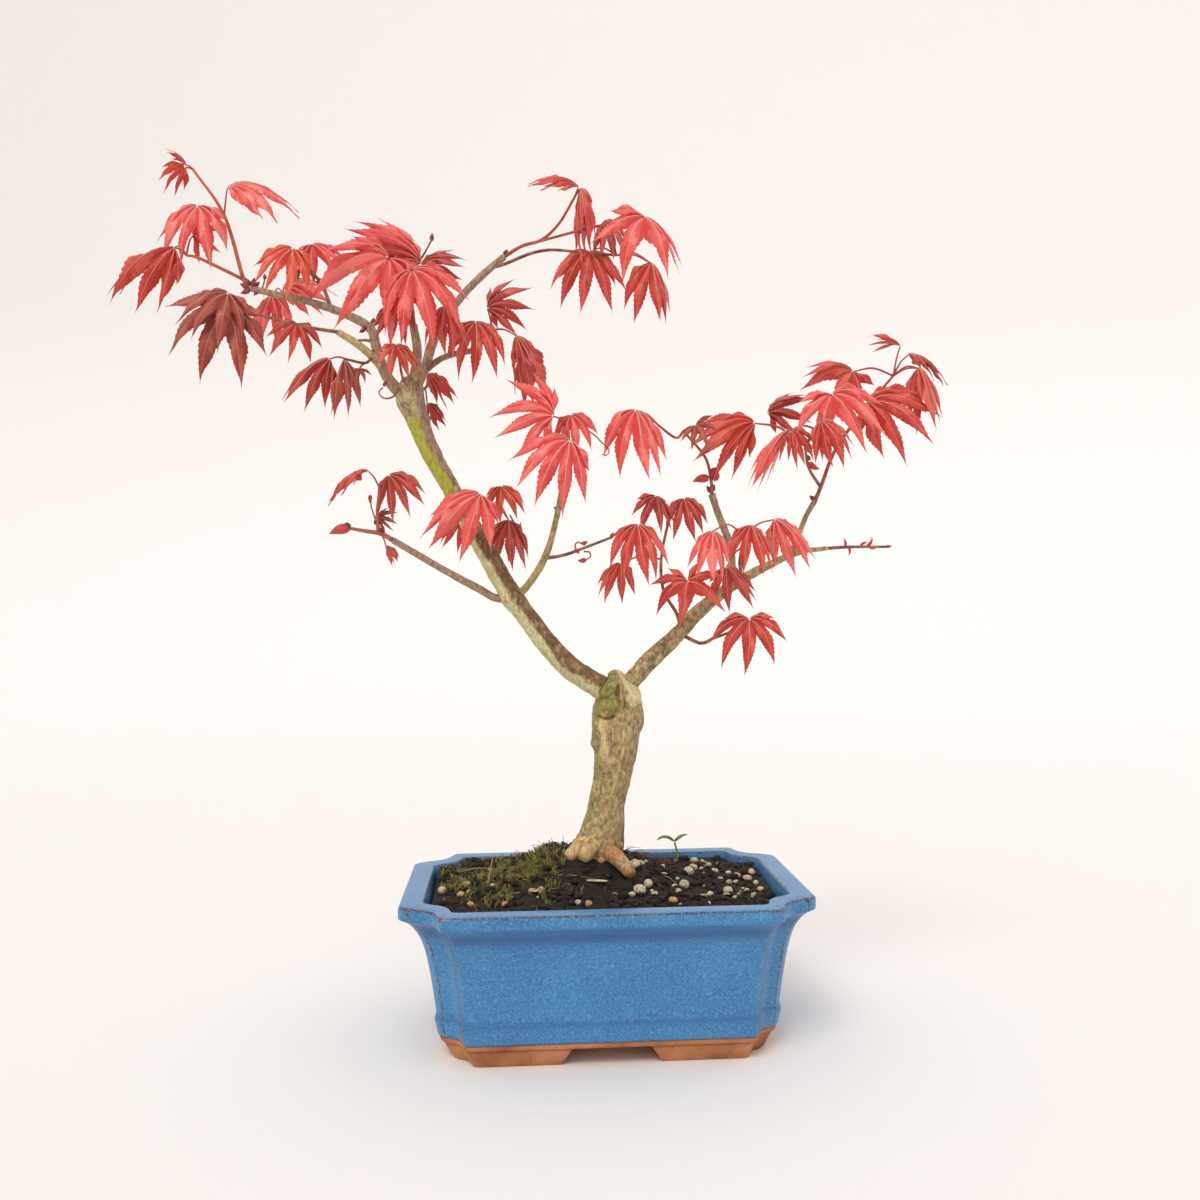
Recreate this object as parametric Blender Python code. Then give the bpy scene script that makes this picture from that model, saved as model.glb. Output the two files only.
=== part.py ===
"""A red-leaved Japanese maple bonsai in a stepped rectangular pot.

The tree is drawn on its front elevation: x to the right and z up in millimetres, with a depth y that is
positive away from the front. Every point slides along the sight line of an eye in front of the tree, so the
outline of the elevation holds at any depth. The tree then stands turned and leaning a little in its pot.
"""

import math
import random

import bmesh
import bpy
import numpy as np
from mathutils import Vector

MM = 0.001
GAP = 0.3  # clearance between pieces that touch, mm
CUT = 0.38  # growth of a limb that cuts what grows from it; its flats then stay clear by the gap

# The sight line of the elevation, and how the tree is planted in the pot.
EYE_DISTANCE = 623.0
EYE_IN_DRAWING = 212.0
EYE_HEIGHT = 217.4  # above the table
TREE_TURN = math.radians(-4.0)
TREE_LEAN = math.radians(0.5)

# Pot: half sizes of the plan at the rim, and what each loses by the bottom of the feet.
POT_HEIGHT = 74.0
PANEL, PANEL_TAPER = 79.0, 14.3
TIP, TIP_TAPER = 100.0, 25.1
DEPTH, DEPTH_TAPER = 71.6, 16.3
RECESS, RECESS_TAPER = 23.7, 10.3
RIM_WIDTH, FLOOR_INSET = 11.5, 9.5
RIM_ROUNDING = 1.0
GLAZE_BOTTOM = 11.3
BASE_TOP, BASE_BOTTOM = 11.0, 8.6
BASE_TAPER = (0.77, 0.745)
FOOT_TOP = BASE_BOTTOM - GAP
FOOT_FRONT, FOOT_SIDE = 38.0, 26.0
FOOT_THICK = 15.0
FOOT_CHAMFER = 8.0
FOOT_TAPER = 0.82  # at its top
FLOOR_TOP = 19.0
WALL_BEND = 14.0  # where the inside of the wall turns inward, below the rim
BEND_TAPER, FLOOR_TAPER = 0.1, 0.62  # of the inside there and at the floor
LIP_DROP = 2.0
POT_PROFILE = [  # height, share of the whole taper
    (GLAZE_BOTTOM, 0.735), (12.4, 0.715), (19.6, 0.66), (21.6, 0.69), (30.0, 0.65), (42.0, 0.575),
    (50.0, 0.51), (56.0, 0.44), (61.0, 0.34), (65.0, 0.2), (66.8, 0.08), (67.6, 0.01), (68.6, 0.0),
]

# Soil: a level bed with a mound that the trunk stands on.
SOIL_LEVEL = 67.5
MOUND_RISE = 21.0
MOUND_TOP = 83.2
MOUND_AT = (-9.0, 10.0)
MOUND_REACH = (36.0, 31.0)
SOIL_RINGS = (1.0, 0.84, 0.66, 0.5, 0.36, 0.24, 0.12)
SOIL_CLEARANCE = 0.7
SOIL_TAPER = 0.05

# Trunk: x, z and diameter up its axis, then the roots that show on the soil.
TRUNK_DEPTH = 8.0
TRUNK = [
    (-2.5, 74, 33), (-2.0, 80, 30), (-0.5, 85, 25.5), (1.0, 90, 23.2), (2.5, 100, 20.5), (3.6, 109, 18.6),
    (5.9, 119, 19.4), (7.0, 127, 20.7), (8.2, 136, 22.9), (8.3, 145, 25.0), (9.0, 153.6, 26.2),
    (9.4, 162, 23.4), (8.5, 168, 19.5), (7.7, 173, 11.0),
]
ROOTS = [  # from, to, in x, z, y, then the two diameters
    ((3.0, 82.0, 2.0), (16.0, 72.5, -19.0), 9.0, 5.0),
    ((-4.0, 81.0, 4.0), (-17.0, 77.5, 0.0), 11.0, 7.5),
    ((-4.0, 81.0, 2.0), (-11.0, 76.0, -11.0), 10.0, 6.5),
    ((0.0, 81.0, 12.0), (10.0, 76.5, 24.0), 10.0, 6.0),
]

# Limbs: what they grow from, then x, z, depth and diameter along each one.
LIMBS = {
    "bough_left": (["trunk"], [
        (3.5, 165, 6, 12.5), (-19.6, 181, 4, 11.5), (-43.4, 211.5, 0, 10.3), (-56.8, 233.7, -3, 10.2),
        (-73.9, 264.2, -7, 9.2), (-87.8, 289.5, -10, 9.6), (-95.8, 310.5, -12, 12.2), (-97.6, 318, -12, 13.2),
        (-98.0, 324.5, -12, 9.5)]),
    "bough_right": (["trunk"], [
        (10, 163.5, 6, 10), (25.8, 181, 8, 9.4), (41.3, 195.5, 11, 8.2), (51.6, 207, 13, 7.0),
        (72.3, 222, 16, 5.4), (90.4, 231.6, 18, 4.0), (103.3, 236.8, 19, 3.0), (117, 238.6, 20, 2.3)]),
    "branch_upper_left": (["bough_left"], [
        (-98, 314, -12, 7.2), (-104, 320, -12, 6.6), (-108.5, 325, -12, 5.8), (-112, 332, -11, 5.2),
        (-115.4, 342.9, -10, 5.0), (-118.5, 352, -8, 4.8), (-131.7, 359.5, -4, 4.2), (-151, 366, 1, 3.8),
        (-168, 369.6, 5, 3.4), (-180, 372.6, 8, 3.4)]),
    "branch_left_low": (["branch_upper_left", "bough_left"], [
        (-111.5, 331, -11, 4.4), (-118, 338, -13, 4.2), (-126, 344.5, -14, 3.8), (-135, 350, -14, 3.2)]),
    "branch_top": (["bough_left"], [
        (-97.5, 320, -14, 5.0), (-94.5, 334, -17, 4.6), (-94.2, 342, -19, 4.4), (-96.2, 354, -22, 3.8)]),
    "branch_upper_right": (["bough_left"], [
        (-95, 321, -10, 5.6), (-90.3, 330.7, -7, 5.2), (-86.5, 343.7, -3, 4.8), (-81.6, 354, 0, 4.4),
        (-71.8, 367.6, 4, 4.0), (-60.8, 379, 7, 3.8), (-49.5, 388.6, 9, 3.6)]),
    "branch_inner_right": (["branch_upper_right", "bough_left"], [
        (-89.8, 330.5, -7, 3.6), (-82.6, 335.8, -12, 3.2), (-75.5, 338.6, -15, 3.0), (-66, 340.3, -17, 2.6)]),
    "branch_low_left": (["bough_left"], [
        (-44, 212.5, 0, 4.8), (-54, 213.2, -1, 4.2), (-62.5, 217.8, -3, 4.0), (-77.8, 226, -6, 3.6),
        (-95, 236, -9, 3.4), (-106.5, 242.7, -11, 3.2)]),
    "branch_centre": (["bough_left"], [
        (-43.5, 213, 0, 4.4), (-36.5, 220.5, -5, 3.9), (-29.8, 231, -9, 3.6), (-25.8, 241, -14, 3.2),
        (-21.8, 257, -20, 2.9), (-19.2, 272, -25, 2.6)]),
    "branch_far_right": (["bough_right"], [
        (98, 234.3, 19, 3.0), (101.8, 244, 21, 2.8), (106, 255, 23, 2.6), (110.6, 263, 24, 2.7)]),
    "branch_right_up": (["bough_right"], [
        (68.5, 219.5, 15, 4.2), (67.4, 238, 16, 3.9), (64.6, 247, 16, 3.8), (61, 256, 15, 3.7),
        (57.6, 266.5, 13, 3.9)]),
}
LIMB_SIDES = {"trunk": 14, "bough_left": 9, "bough_right": 8}
BRANCH_SIDES = 6
LIMB_STEP = 9.0  # length of one ring along a limb

# Masses: the limb they meet and the stem's diameter, the room they keep to, the paths of the stem and its
# forks as x, z, depth, and the leaves. A room is one or more boxes, each (low, high) in x, y and z, that no
# other mass shares. A leaf is x, z, depth and length, then the directions in the elevation of its first,
# middle and last lobe in degrees, and how far its blade turns edge-on (-1 to 1).
MASSES = {
    "mass_far_left": {
        "meets": "branch_upper_left", "twig": 2.6,
        "room": [((-262, -186), (-14, 62), (345, 378)), ((-262, -186), (-32, 62), (378, 446)),
            ((-186, -146), (-29, 62), (401, 446))],
        "stem": [
            [(-180.6, 372.8, 8.2), (-183.5, 377, 9), (-193.5, 410, 12), (-209.6, 433.8, 16)],
            [(-183.5, 377, 9), (-205.7, 387.7, 4), (-213, 389.5, 2)]],
        "leaves": [
            (-213.4, 436, 16, 12.5, 158, 146, 138, 1), (-213.6, 434.5, 15, 17.5, -156, -133, -112, -1),
            (-191.8, 424, 10, 40, 2, -24, -52, 0.8), (-207, 414.7, 4, 35, -160, -108, -28, 0),
            (-219, 393.5, 0, 42, -152, -138, -90, 0), (-209.6, 399.5, 16, 19, 60, 10, -80, 0)]},
    "mass_left_low": {
        "meets": "branch_left_low", "twig": 1.9,
        "room": [((-236, -181.2), (-62, -15), (316, 378)), ((-186, -160), (-62, -3), (316, 362.5)),
            ((-180, -136), (-16.5, -3), (330, 362.5)), ((-180, -136), (-30, -3), (346, 362.5))],
        "stem": [
            [(-135.4, 350.3, -14), (-148, 352, -18), (-165, 356, -24), (-177.4, 359.2, -30)]],
        "leaves": [
            (-192.1, 361.5, -36, 40, -211, -113, -15, 0), (-191.3, 369.6, -42, 30, -178, -134, -40, 0),
            (-155.9, 354, -14, 22, -185, -98, -20, 0)]},
    "mass_left_back": {
        "meets": "branch_upper_left", "twig": 1.8,
        "room": [((-185, -130), (6, 52), (330, 382))],
        "stem": [[(-160, 368.2, 3), (-161, 370, 9), (-163, 370, 15)]],
        "leaves": [
            (-169, 368.4, 16, 28, -138, -102, -40, 0), (-163, 373, 20, 29, 20, -22, -60, 0.5)]},
    "mass_left_top": {
        "meets": "branch_upper_left", "twig": 2.2,
        "room": [((-181, -126), (-30, 5.5), (363, 400))],
        "stem": [[(-138.5, 362, -2), (-143, 374, -4), (-148.5, 381, -6), (-153.2, 386.5, -8)]],
        "leaves": [
            (-158.1, 392.7, -14, 30, -172, -120, -45, 0), (-148.3, 394.8, -4.0, 22, -150, -52, -10, 0)]},
    "mass_crown": {
        "meets": "branch_top", "twig": 2.8,
        "room": [((-150, -81), (-92, -31), (346, 415)), ((-125, -81), (-92, -18), (346, 415)),
            ((-150, -48), (-92, -41), (333, 415))],
        "stem": [[(-96.3, 354.4, -22.2), (-97, 363, -27), (-98, 372, -36), (-98.5, 379, -44)]],
        "leaves": [
            (-108.7, 387.5, -56, 44, -215, -123, -30, 0), (-96.8, 381.8, -62, 40, -140, -72, -8, 0),
            (-92.4, 385.6, -46, 37, 118, 161, 200, 0), (-92, 384, -46, 23, 40, -8, -60, 0),
            (-80, 363, -47, 27, -135, -92, -50, 0), (-103.5, 366, -47, 24, -150, -100, -50, 0)]},
    "mass_knob_left": {
        "meets": "branch_left_low", "twig": 1.6,
        "room": [((-160, -116), (-40.5, -17), (295, 345)), ((-165, -160), (-40.5, -17), (295, 316))],
        "stem": [[(-117.5, 337, -14.5), (-121, 334, -19), (-130, 335.8, -23)]],
        "leaves": [
            (-139.1, 336.2, -28, 31, -152, -131, -88, 0), (-131.8, 335.6, -24, 30, -112, -96, -62, 0),
            (-124, 331, -20, 9, -150, -100, -30, 0)]},
    "mass_knob_front": {
        "meets": "bough_left", "twig": 1.6,
        "room": [((-115.5, -81.2), (-40, -17), (300, 345))],
        "stem": [[(-97, 321, -18), (-101.5, 326, -22), (-103.5, 337, -25)]],
        "leaves": [(-104.9, 343.5, -26, 20, -160, -70, -30, 0)]},
    "mass_knob_right": {
        "meets": "bough_left", "twig": 1.6,
        "room": [((-95, -60), (-5.5, 22), (292, 332))],
        "stem": [[(-93.2, 317, -8), (-90, 321, -3), (-89, 324, 2)]],
        "leaves": [
            (-88.4, 328.4, 5, 22, -85, -51, -30, 0.6), (-89, 313, 4, 16, -85, -54, -35, 0.6)]},
    "mass_inner_right": {
        "meets": "branch_inner_right", "twig": 2.0,
        "room": [((-81, -20), (-40, -6), (308, 382))],
        "stem": [[(-65.6, 340.4, -17.2), (-60, 345, -21), (-55.4, 351.2, -23)]],
        "leaves": [
            (-58, 361.9, -24, 25, 78, -8, -60, 0), (-63.6, 355.1, -31, 31, -152, -88, -35, 0),
            (-43, 348, -26, 38, -100, -74, -52, 0.5)]},
    "mass_top_right_upper": {
        "meets": "branch_upper_right", "twig": 2.0,
        "room": [((-45, 52), (-52, 6), (383, 432)), ((-10, 52), (-52, 6), (368, 383))],
        "stem": [
            [(-49, 389.6, 7.5), (-40, 394.3, 3), (-30, 397.5, -2), (-21, 406, -6), (-13, 419.5, -12)],
            [(-40, 394.3, 3), (-14.4, 401.2, -12), (4, 405.8, -22)]],
        "leaves": [
            (-11.1, 424.2, -14, 26, 165, 178, 196, 0.6), (-9.5, 423.9, -15, 39, -100, -86, -70, 0.7),
            (22.8, 409.1, -34, 35, -190, -68, -40, 0)]},
    "mass_top_right_lower": {
        "meets": "branch_upper_right", "twig": 2.0,
        "room": [((-42, 50), (8, 62), (349, 416))],
        "stem": [
            [(-56, 383, 8), (-49, 385, 14.5), (-36, 390.3, 15.5), (-26, 392.2, 17), (-14, 391.5, 20),
             (8.4, 389.5, 24)]],
        "leaves": [
            (-5.5, 391.3, 24, 36, -160, -95, -28, 0), (3.7, 407.8, 24, 25, -125, -82, -35, 0),
            (26.4, 385.3, 28, 36, -142, -84, -58, 0)]},
    "mass_centre": {
        "meets": "branch_centre", "twig": 2.3,
        "room": [((-50, -0.9), (-78, -22.5), (253, 308)), ((-62, -10), (-78, -41), (276, 332))],
        "stem": [[(-19.1, 272.5, -25.2), (-18.4, 281, -29), (-17.5, 291, -33), (-16.5, 300, -36)]],
        "leaves": [
            (-23.9, 306.6, -47, 31, 88, 178, 250, 0), (-15.6, 294.1, -52, 38, -178, -118, -60, 0),
            (-15, 307.2, -38, 22, -140, -80, -15, 0)]},
    "mass_centre_right": {
        "meets": "branch_centre", "twig": 1.9,
        "room": [((-28, -6.5), (-56, -9), (212, 252.5)), ((-6.5, 35.5), (-56, -25.7), (212, 252.5))],
        "stem": [[(-27.3, 231.8, -11), (-19, 235, -14), (-9, 238.5, -17), (6, 244.3, -22)]],
        "leaves": [(19.3, 250.7, -30, 32, -145, -84, -38, 0)]},
    "mass_bough_front": {
        "meets": "bough_left", "twig": 1.7,
        "room": [((-96, -50.5), (-52, -18.5), (226, 276))],
        "stem": [[(-68.5, 258, -12), (-66, 261, -16), (-64, 263.5, -21)]],
        "leaves": [(-61.7, 266.3, -25, 38, -168, -129, -58, 0)]},
    "mass_bough_back": {
        "meets": "bough_left", "twig": 1.7,
        "room": [((-83.8, -22), (2, 56), (212, 282))],
        "stem": [[(-64, 252.5, 0), (-60, 258, 8), (-56, 262, 13)]],
        "leaves": [
            (-50.8, 270.3, 16, 21, -150, -62, -22, 0), (-46.9, 252.9, 20, 28, -142, -87, -48, 0),
            (-70.6, 254.4, 16, 20, -150, -118, -60, 0)]},
    "mass_mid_right": {
        "meets": "branch_right_up", "twig": 1.9,
        "room": [((-0.8, 42), (-46, 12), (268, 320)), ((42, 66), (-46, -5), (268, 320))],
        "stem": [
            [(57.4, 267, 12.8), (57.2, 273.5, 10), (54.1, 285.5, 4), (43, 299, -4)],
            [(43, 299, -4), (39, 295.5, -8), (30, 302, -14)]],
        "leaves": [
            (18.6, 309.6, -20, 38, -150, -84, -46, 0), (49.3, 301.6, -8, 14, -130, -60, 30, 0)]},
    "mass_far_right": {
        "meets": "branch_far_right", "twig": 2.4,
        "room": [((66, 192), (-46, 66), (262, 348)), ((42, 66), (-4, 66), (268, 348))],
        "stem": [
            [(110.7, 263.5, 24.1), (113.6, 270, 24), (121, 289, 23), (133, 306, 22), (151, 327.5, 24)],
            [(113.6, 270, 24), (107.5, 280, 18), (105.5, 291, 12)],
            [(105.5, 291, 12), (111, 300, 2), (114, 310, -8)]],
        "leaves": [
            (79.6, 303, 8, 39, -190, -143, -98, 0), (97.9, 299.6, -5, 38, -136, -123, -106, 0),
            (98.5, 299.4, -8, 21.5, -100, -74, -12, 0),
            (119.3, 317.6, -20, 36, -168, -62, 6, 0), (113.8, 304.1, -26, 26, -110, -64, -20, 0),
            (130.1, 329.5, 18, 31, -196, -160, -36, 0), (86.5, 308, 30, 26, 48, 14, -66, 0),
            (138, 313.8, 10, 41, 22, -33, -100, 0), (154.6, 342.5, 26, 19, 158, 170, 188, 0),
            (158.8, 338.3, 26, 26, -28, -40, -56, 0.7), (164, 331.4, 16, 35, -108, -82, -50, 0)]},
    "mass_right_tip": {
        "meets": "bough_right", "twig": 1.9,
        "room": [((114, 152), (10, 34), (226, 250))],
        "stem": [[(117.4, 238.7, 20), (126, 239.2, 20.5), (137, 239.4, 21), (147.2, 239.4, 21.5)]],
        "leaves": []},
    "mass_right_inner": {
        "meets": "bough_right", "twig": 2.1,
        "room": [((-6, 50), (-22, 5), (190, 267.5)), ((50, 60.5), (-22, 5), (232, 267.5)),
            ((20, 66), (-25.6, -17.5), (203.3, 232))],
        "stem": [[(40.5, 198.5, 6), (39.4, 205.2, 3), (35.1, 212, 0), (32, 220, -3), (31.5, 233, -6),
                  (34, 247, -8), (37, 257, -10)]],
        "leaves": [
            (28.8, 265.3, -14, 21, -168, -82, -42, 0), (43.1, 264.1, -12, 23, -140, -80, -25, 0),
            (10.6, 230.9, -8, 23, -145, -113, -48, 0), (45, 221.4, -20, 26, -212, -96, 58, 0)]},
    "mass_right_front": {
        "meets": "bough_right", "twig": 2.0,
        "room": [
            ((61, 130), (-52, 9.5), (232, 262)), ((66.5, 130), (-52, 9.5), (203.5, 232)),
            ((36, 61), (-52, -26.5), (204, 262)), ((50, 66.5), (-17, 9.5), (203.5, 232)),
            ((61, 66.5), (-52, -26.5), (203.5, 232))],
        "stem": [[(72.5, 224.5, 12), (72, 231, 7), (73, 239, 1), (74, 245, -4)]],
        "leaves": [
            (58.1, 247.5, -36, 27, -135, -93, -50, 0), (77.5, 250.3, -12, 27, -140, -76, -45, 0),
            (89.7, 253.4, -6, 31, -100, -56, -28, 0), (65.2, 228.9, -8, 25, -135, -62, -32, 0)]},
    "mass_right_low": {
        "meets": "bough_right", "twig": 2.2,
        "room": [((56, 116), (-34, 30), (166, 203.3))],
        "stem": [[(42, 194, 10), (51.6, 189.8, 6), (58.4, 192.3, 2), (66, 195, -2)]],
        "leaves": [(76.7, 202, -6, 30, -180, -90, 0, 0)]},
    "mass_low_left": {
        "meets": "branch_low_left", "twig": 2.9,
        "room": [((-156, -96), (-48, 20), (225, 286)), ((-96, -84), (-18, 20), (225, 286))],
        "stem": [
            [(-107, 243, -11), (-113, 246.2, -12), (-121, 247.5, -13), (-129, 249, -14)],
            [(-114, 246.5, -12), (-114.7, 256, -14), (-113.6, 270, -16)]],
        "leaves": [
            (-119.3, 278.2, -20, 27, -158, -140, -126, 1), (-108.8, 275.9, -12, 26, -125, -60, -6, 0),
            (-115, 253.5, -6, 12, 45, -15, -60, 0), (-110.2, 240, -6, 12, -85, -64, -45, 0.5)]},
}

# Leaf: seven lobes, each with a share of the middle lobe's length, widest before its middle.
LOBE_SHARE = (0.42, 0.74, 0.94, 1.0, 0.94, 0.74, 0.42)
FULL_SPREAD = 98.0  # degrees from the middle lobe to the last one on a flat leaf
CUP, CUP_EVEN = 0.6, 0.45  # how much of a missing spread swings away in depth, and where it changes sign
SMALL_LEAF = 20.0  # shorter leaves have five lobes
SINUS = 0.34  # radius of the notches between lobes, over length
HEEL, CORE = 0.06, 0.02  # the blade behind its stalk, and its thickest place, over length
LEAF_THICK = 0.026  # over length
LEAF_THINNEST = 0.55
STALK = 1.05  # diameter of a leaf stalk
STALK_SIDES = 3
STALK_TAPER = (1.0, 1.0, 0.9, 0.6)
STALK_RISE = 0.12  # of its middle, over its length
STALK_INTO_BLADE = 0.03  # over the leaf's length
TWIG_SIDES = 4
TWIG_TIP = 1.3
FORK_WIDTH, END_WIDTH = 0.75, 0.55  # of a fork and of a stem's end, over the stem's diameter
TWIG_STEP = 14.4  # length of one ring along a twig
LEAF_TO_LIMB, BUD_TO_LIMB = 1.2, 2.0  # clearances
BACK_LEAF_SHARE = 0.7  # of the leaves long enough, this share has a twin behind it
BACK_LEAF_FROM = 27.0
BACK_LEAF_SCALE = 0.86
BACK_LEAF_DEPTH = (16.0, 26.0)
BUD_SHARE = 0.75
BUD_LENGTH = (3.5, 6.0)
BUD_WIDTHS = (1.0, 1.9, 0.7)
SEED = 41

BARK = ("bark", (0.33, 0.26, 0.15), 0.85)
YOUNG_BARK = ("young bark", (0.36, 0.25, 0.17), 0.75)
LEAF = ("maple leaf", (0.62, 0.06, 0.06), 0.5)
GLAZE = ("blue glaze", (0.07, 0.24, 0.55), 0.15)
CLAY = ("bare clay", (0.46, 0.17, 0.06), 0.85)
SOIL = ("potting soil", (0.03, 0.02, 0.015), 0.95)


def clear_scene():
    for obj in list(bpy.data.objects):
        bpy.data.objects.remove(obj, do_unlink=True)


def material(spec):
    name, colour, roughness = spec
    mat = bpy.data.materials.get(name) or bpy.data.materials.new(name)
    mat.use_nodes = True
    shader = mat.node_tree.nodes["Principled BSDF"]
    shader.inputs["Base Color"].default_value = (*colour, 1.0)
    shader.inputs["Roughness"].default_value = roughness
    shader.inputs["Metallic"].default_value = 0.0
    return mat


def add_object(name, points, faces, spec, parent):
    """A mesh object from points in millimetres in its parent's space."""
    mesh = bpy.data.meshes.new(name)
    mesh.from_pydata([Vector(p) * MM for p in points], [], faces)
    mesh.update()
    mesh.materials.append(material(spec))
    obj = bpy.data.objects.new(name, mesh)
    bpy.context.scene.collection.objects.link(obj)
    obj.parent = parent
    return obj


def at(x, z, y):
    """A point of the elevation at depth y, from the eye's height, on its sight line."""
    reach = (EYE_DISTANCE + y) / EYE_DISTANCE
    return np.array([x * reach, y, (z - EYE_IN_DRAWING) * reach])


# tubes


def smooth_path(stations, step):
    """Points and diameters along a Catmull-Rom curve through the stations (x, y, z, diameter)."""
    stations = np.array(stations, float)
    ends = np.vstack([2 * stations[0] - stations[1], stations, 2 * stations[-1] - stations[-2]])
    rows = []
    for a, b, c, d in zip(ends[:-3], ends[1:-2], ends[2:-1], ends[3:]):
        count = max(1, round(np.linalg.norm((c - b)[:3]) / step))
        for t in np.arange(count) / count:
            rows.append(0.5 * (2 * b + (c - a) * t + (2 * a - 5 * b + 4 * c - d) * t**2
                               + (3 * b - a - 3 * c + d) * t**3))
    rows.append(stations[-1])
    rows = np.array(rows)
    return rows[:, :3], rows[:, 3]


def tube(path, diameters, sides):
    """Points and faces of a closed tube with flat ends."""
    along = np.gradient(path, axis=0)
    along /= np.linalg.norm(along, axis=1)[:, None]
    side = np.cross(along[0], (0.3, 1.0, 0.2))
    side /= np.linalg.norm(side)
    points = []
    for centre, ahead, diameter in zip(path, along, diameters):
        side = side - ahead * np.dot(side, ahead)
        side /= np.linalg.norm(side)
        third = np.cross(ahead, side)
        for k in range(sides):
            turn = 2 * math.pi * k / sides
            points.append(centre + (side * math.cos(turn) + third * math.sin(turn)) * diameter / 2)
    faces = ring_faces(len(path), sides)
    return points, faces


def ring_faces(rings, sides):
    faces = []
    for r in range(rings - 1):
        for k in range(sides):
            a, b = r * sides + k, r * sides + (k + 1) % sides
            faces.append((a, b, b + sides, a + sides))
    faces.append(tuple(reversed(range(sides))))
    faces.append(tuple(range((rings - 1) * sides, rings * sides)))
    return faces


def modify(obj, operation, others, solver="EXACT"):
    """A Boolean with a collection of objects, applied, and the collection's objects removed."""
    operands = bpy.data.collections.new(obj.name + "_operands")
    bpy.context.scene.collection.children.link(operands)
    for other in others:
        bpy.context.scene.collection.objects.unlink(other)
        operands.objects.link(other)
    modifier = obj.modifiers.new(operation.lower(), "BOOLEAN")
    modifier.operation = operation
    modifier.operand_type = "COLLECTION"
    modifier.collection = operands
    modifier.solver = solver
    bpy.context.view_layer.update()
    evaluated = obj.evaluated_get(bpy.context.evaluated_depsgraph_get())
    mesh = bpy.data.meshes.new_from_object(evaluated)
    obj.modifiers.clear()
    obj.data = mesh
    for other in list(operands.objects):
        bpy.data.objects.remove(other, do_unlink=True)
    bpy.data.collections.remove(operands)


def keep_one_body(obj):
    """Drops loose scraps and fills sealed hollows: only the largest closed shell stays."""
    mesh = bmesh.new()
    mesh.from_mesh(obj.data)
    bmesh.ops.triangulate(mesh, faces=mesh.faces)
    shells, seen = [], set()
    for face in mesh.faces:
        if face in seen:
            continue
        shell, front = [], [face]
        seen.add(face)
        while front:
            current = front.pop()
            shell.append(current)
            for edge in current.edges:
                if len(edge.link_faces) > 2:  # two shells that only touch
                    continue
                for near in edge.link_faces:
                    if near not in seen:
                        seen.add(near)
                        front.append(near)
        shells.append(shell)
    shells.sort(key=len)
    scraps = [face for shell in shells[:-1] for face in shell]
    bmesh.ops.delete(mesh, geom=scraps, context="FACES")
    mesh.to_mesh(obj.data)
    mesh.free()
    return len(shells) - 1


# pot and soil


def corner_points(panel, tip, depth, recess):
    """The front right corner in plan: the panel's end, a hollow step back, and the rounded tip."""
    out = tip - panel
    return [
        (panel - 3.0, -depth), (panel - 0.4, -depth + 1.0), (panel + 0.06 * out, -depth + 0.2 * recess),
        (panel + 0.16 * out, -depth + 0.46 * recess), (panel + 0.38 * out, -depth + 0.68 * recess),
        (panel + 0.66 * out, -depth + 0.8 * recess), (tip - 2.0, -depth + recess - 1.2),
        (tip, -depth + recess + 2.0)]


def plan(taper, inset=0.0):
    """The pot's whole outline at a share of the taper, counter-clockwise, drawn in by an inset."""
    corner = corner_points(
        PANEL - PANEL_TAPER * taper - 0.45 * inset, TIP - TIP_TAPER * taper - inset,
        DEPTH - DEPTH_TAPER * taper - inset, RECESS - RECESS_TAPER * taper - 0.35 * inset)
    front_right = corner
    back_right = [(x, -y) for x, y in reversed(corner)]
    back_left = [(-x, -y) for x, y in corner]
    front_left = [(-x, y) for x, y in reversed(corner)]
    return front_right + back_right + back_left + front_left


def loft(levels):
    """Points and faces through plan outlines: each level is height, taper and inset."""
    points = [(x, y, z) for z, taper, inset in levels for x, y in plan(taper, inset)]
    sides = len(plan(0.0))
    return points, ring_faces(len(levels), sides)


def build_pot(parent):
    levels = [(z, taper, 0.0) for z, taper in POT_PROFILE]
    levels += [(POT_HEIGHT - RIM_ROUNDING, 0.0, 0.0), (POT_HEIGHT, 0.0, RIM_ROUNDING)]
    levels += [(POT_HEIGHT, 0.0, RIM_WIDTH - RIM_ROUNDING), (POT_HEIGHT - LIP_DROP, 0.0, RIM_WIDTH)]
    levels += [(POT_HEIGHT - WALL_BEND, BEND_TAPER, RIM_WIDTH), (FLOOR_TOP, FLOOR_TAPER, FLOOR_INSET)]
    points, faces = loft(levels)
    add_object("pot", points, faces, GLAZE, parent)


def build_base(parent):
    points, faces = loft([(BASE_BOTTOM, BASE_TAPER[0], 0.0), (BASE_TOP, BASE_TAPER[1], 0.0)])
    add_object("clay_base", points, faces, CLAY, parent)


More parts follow.
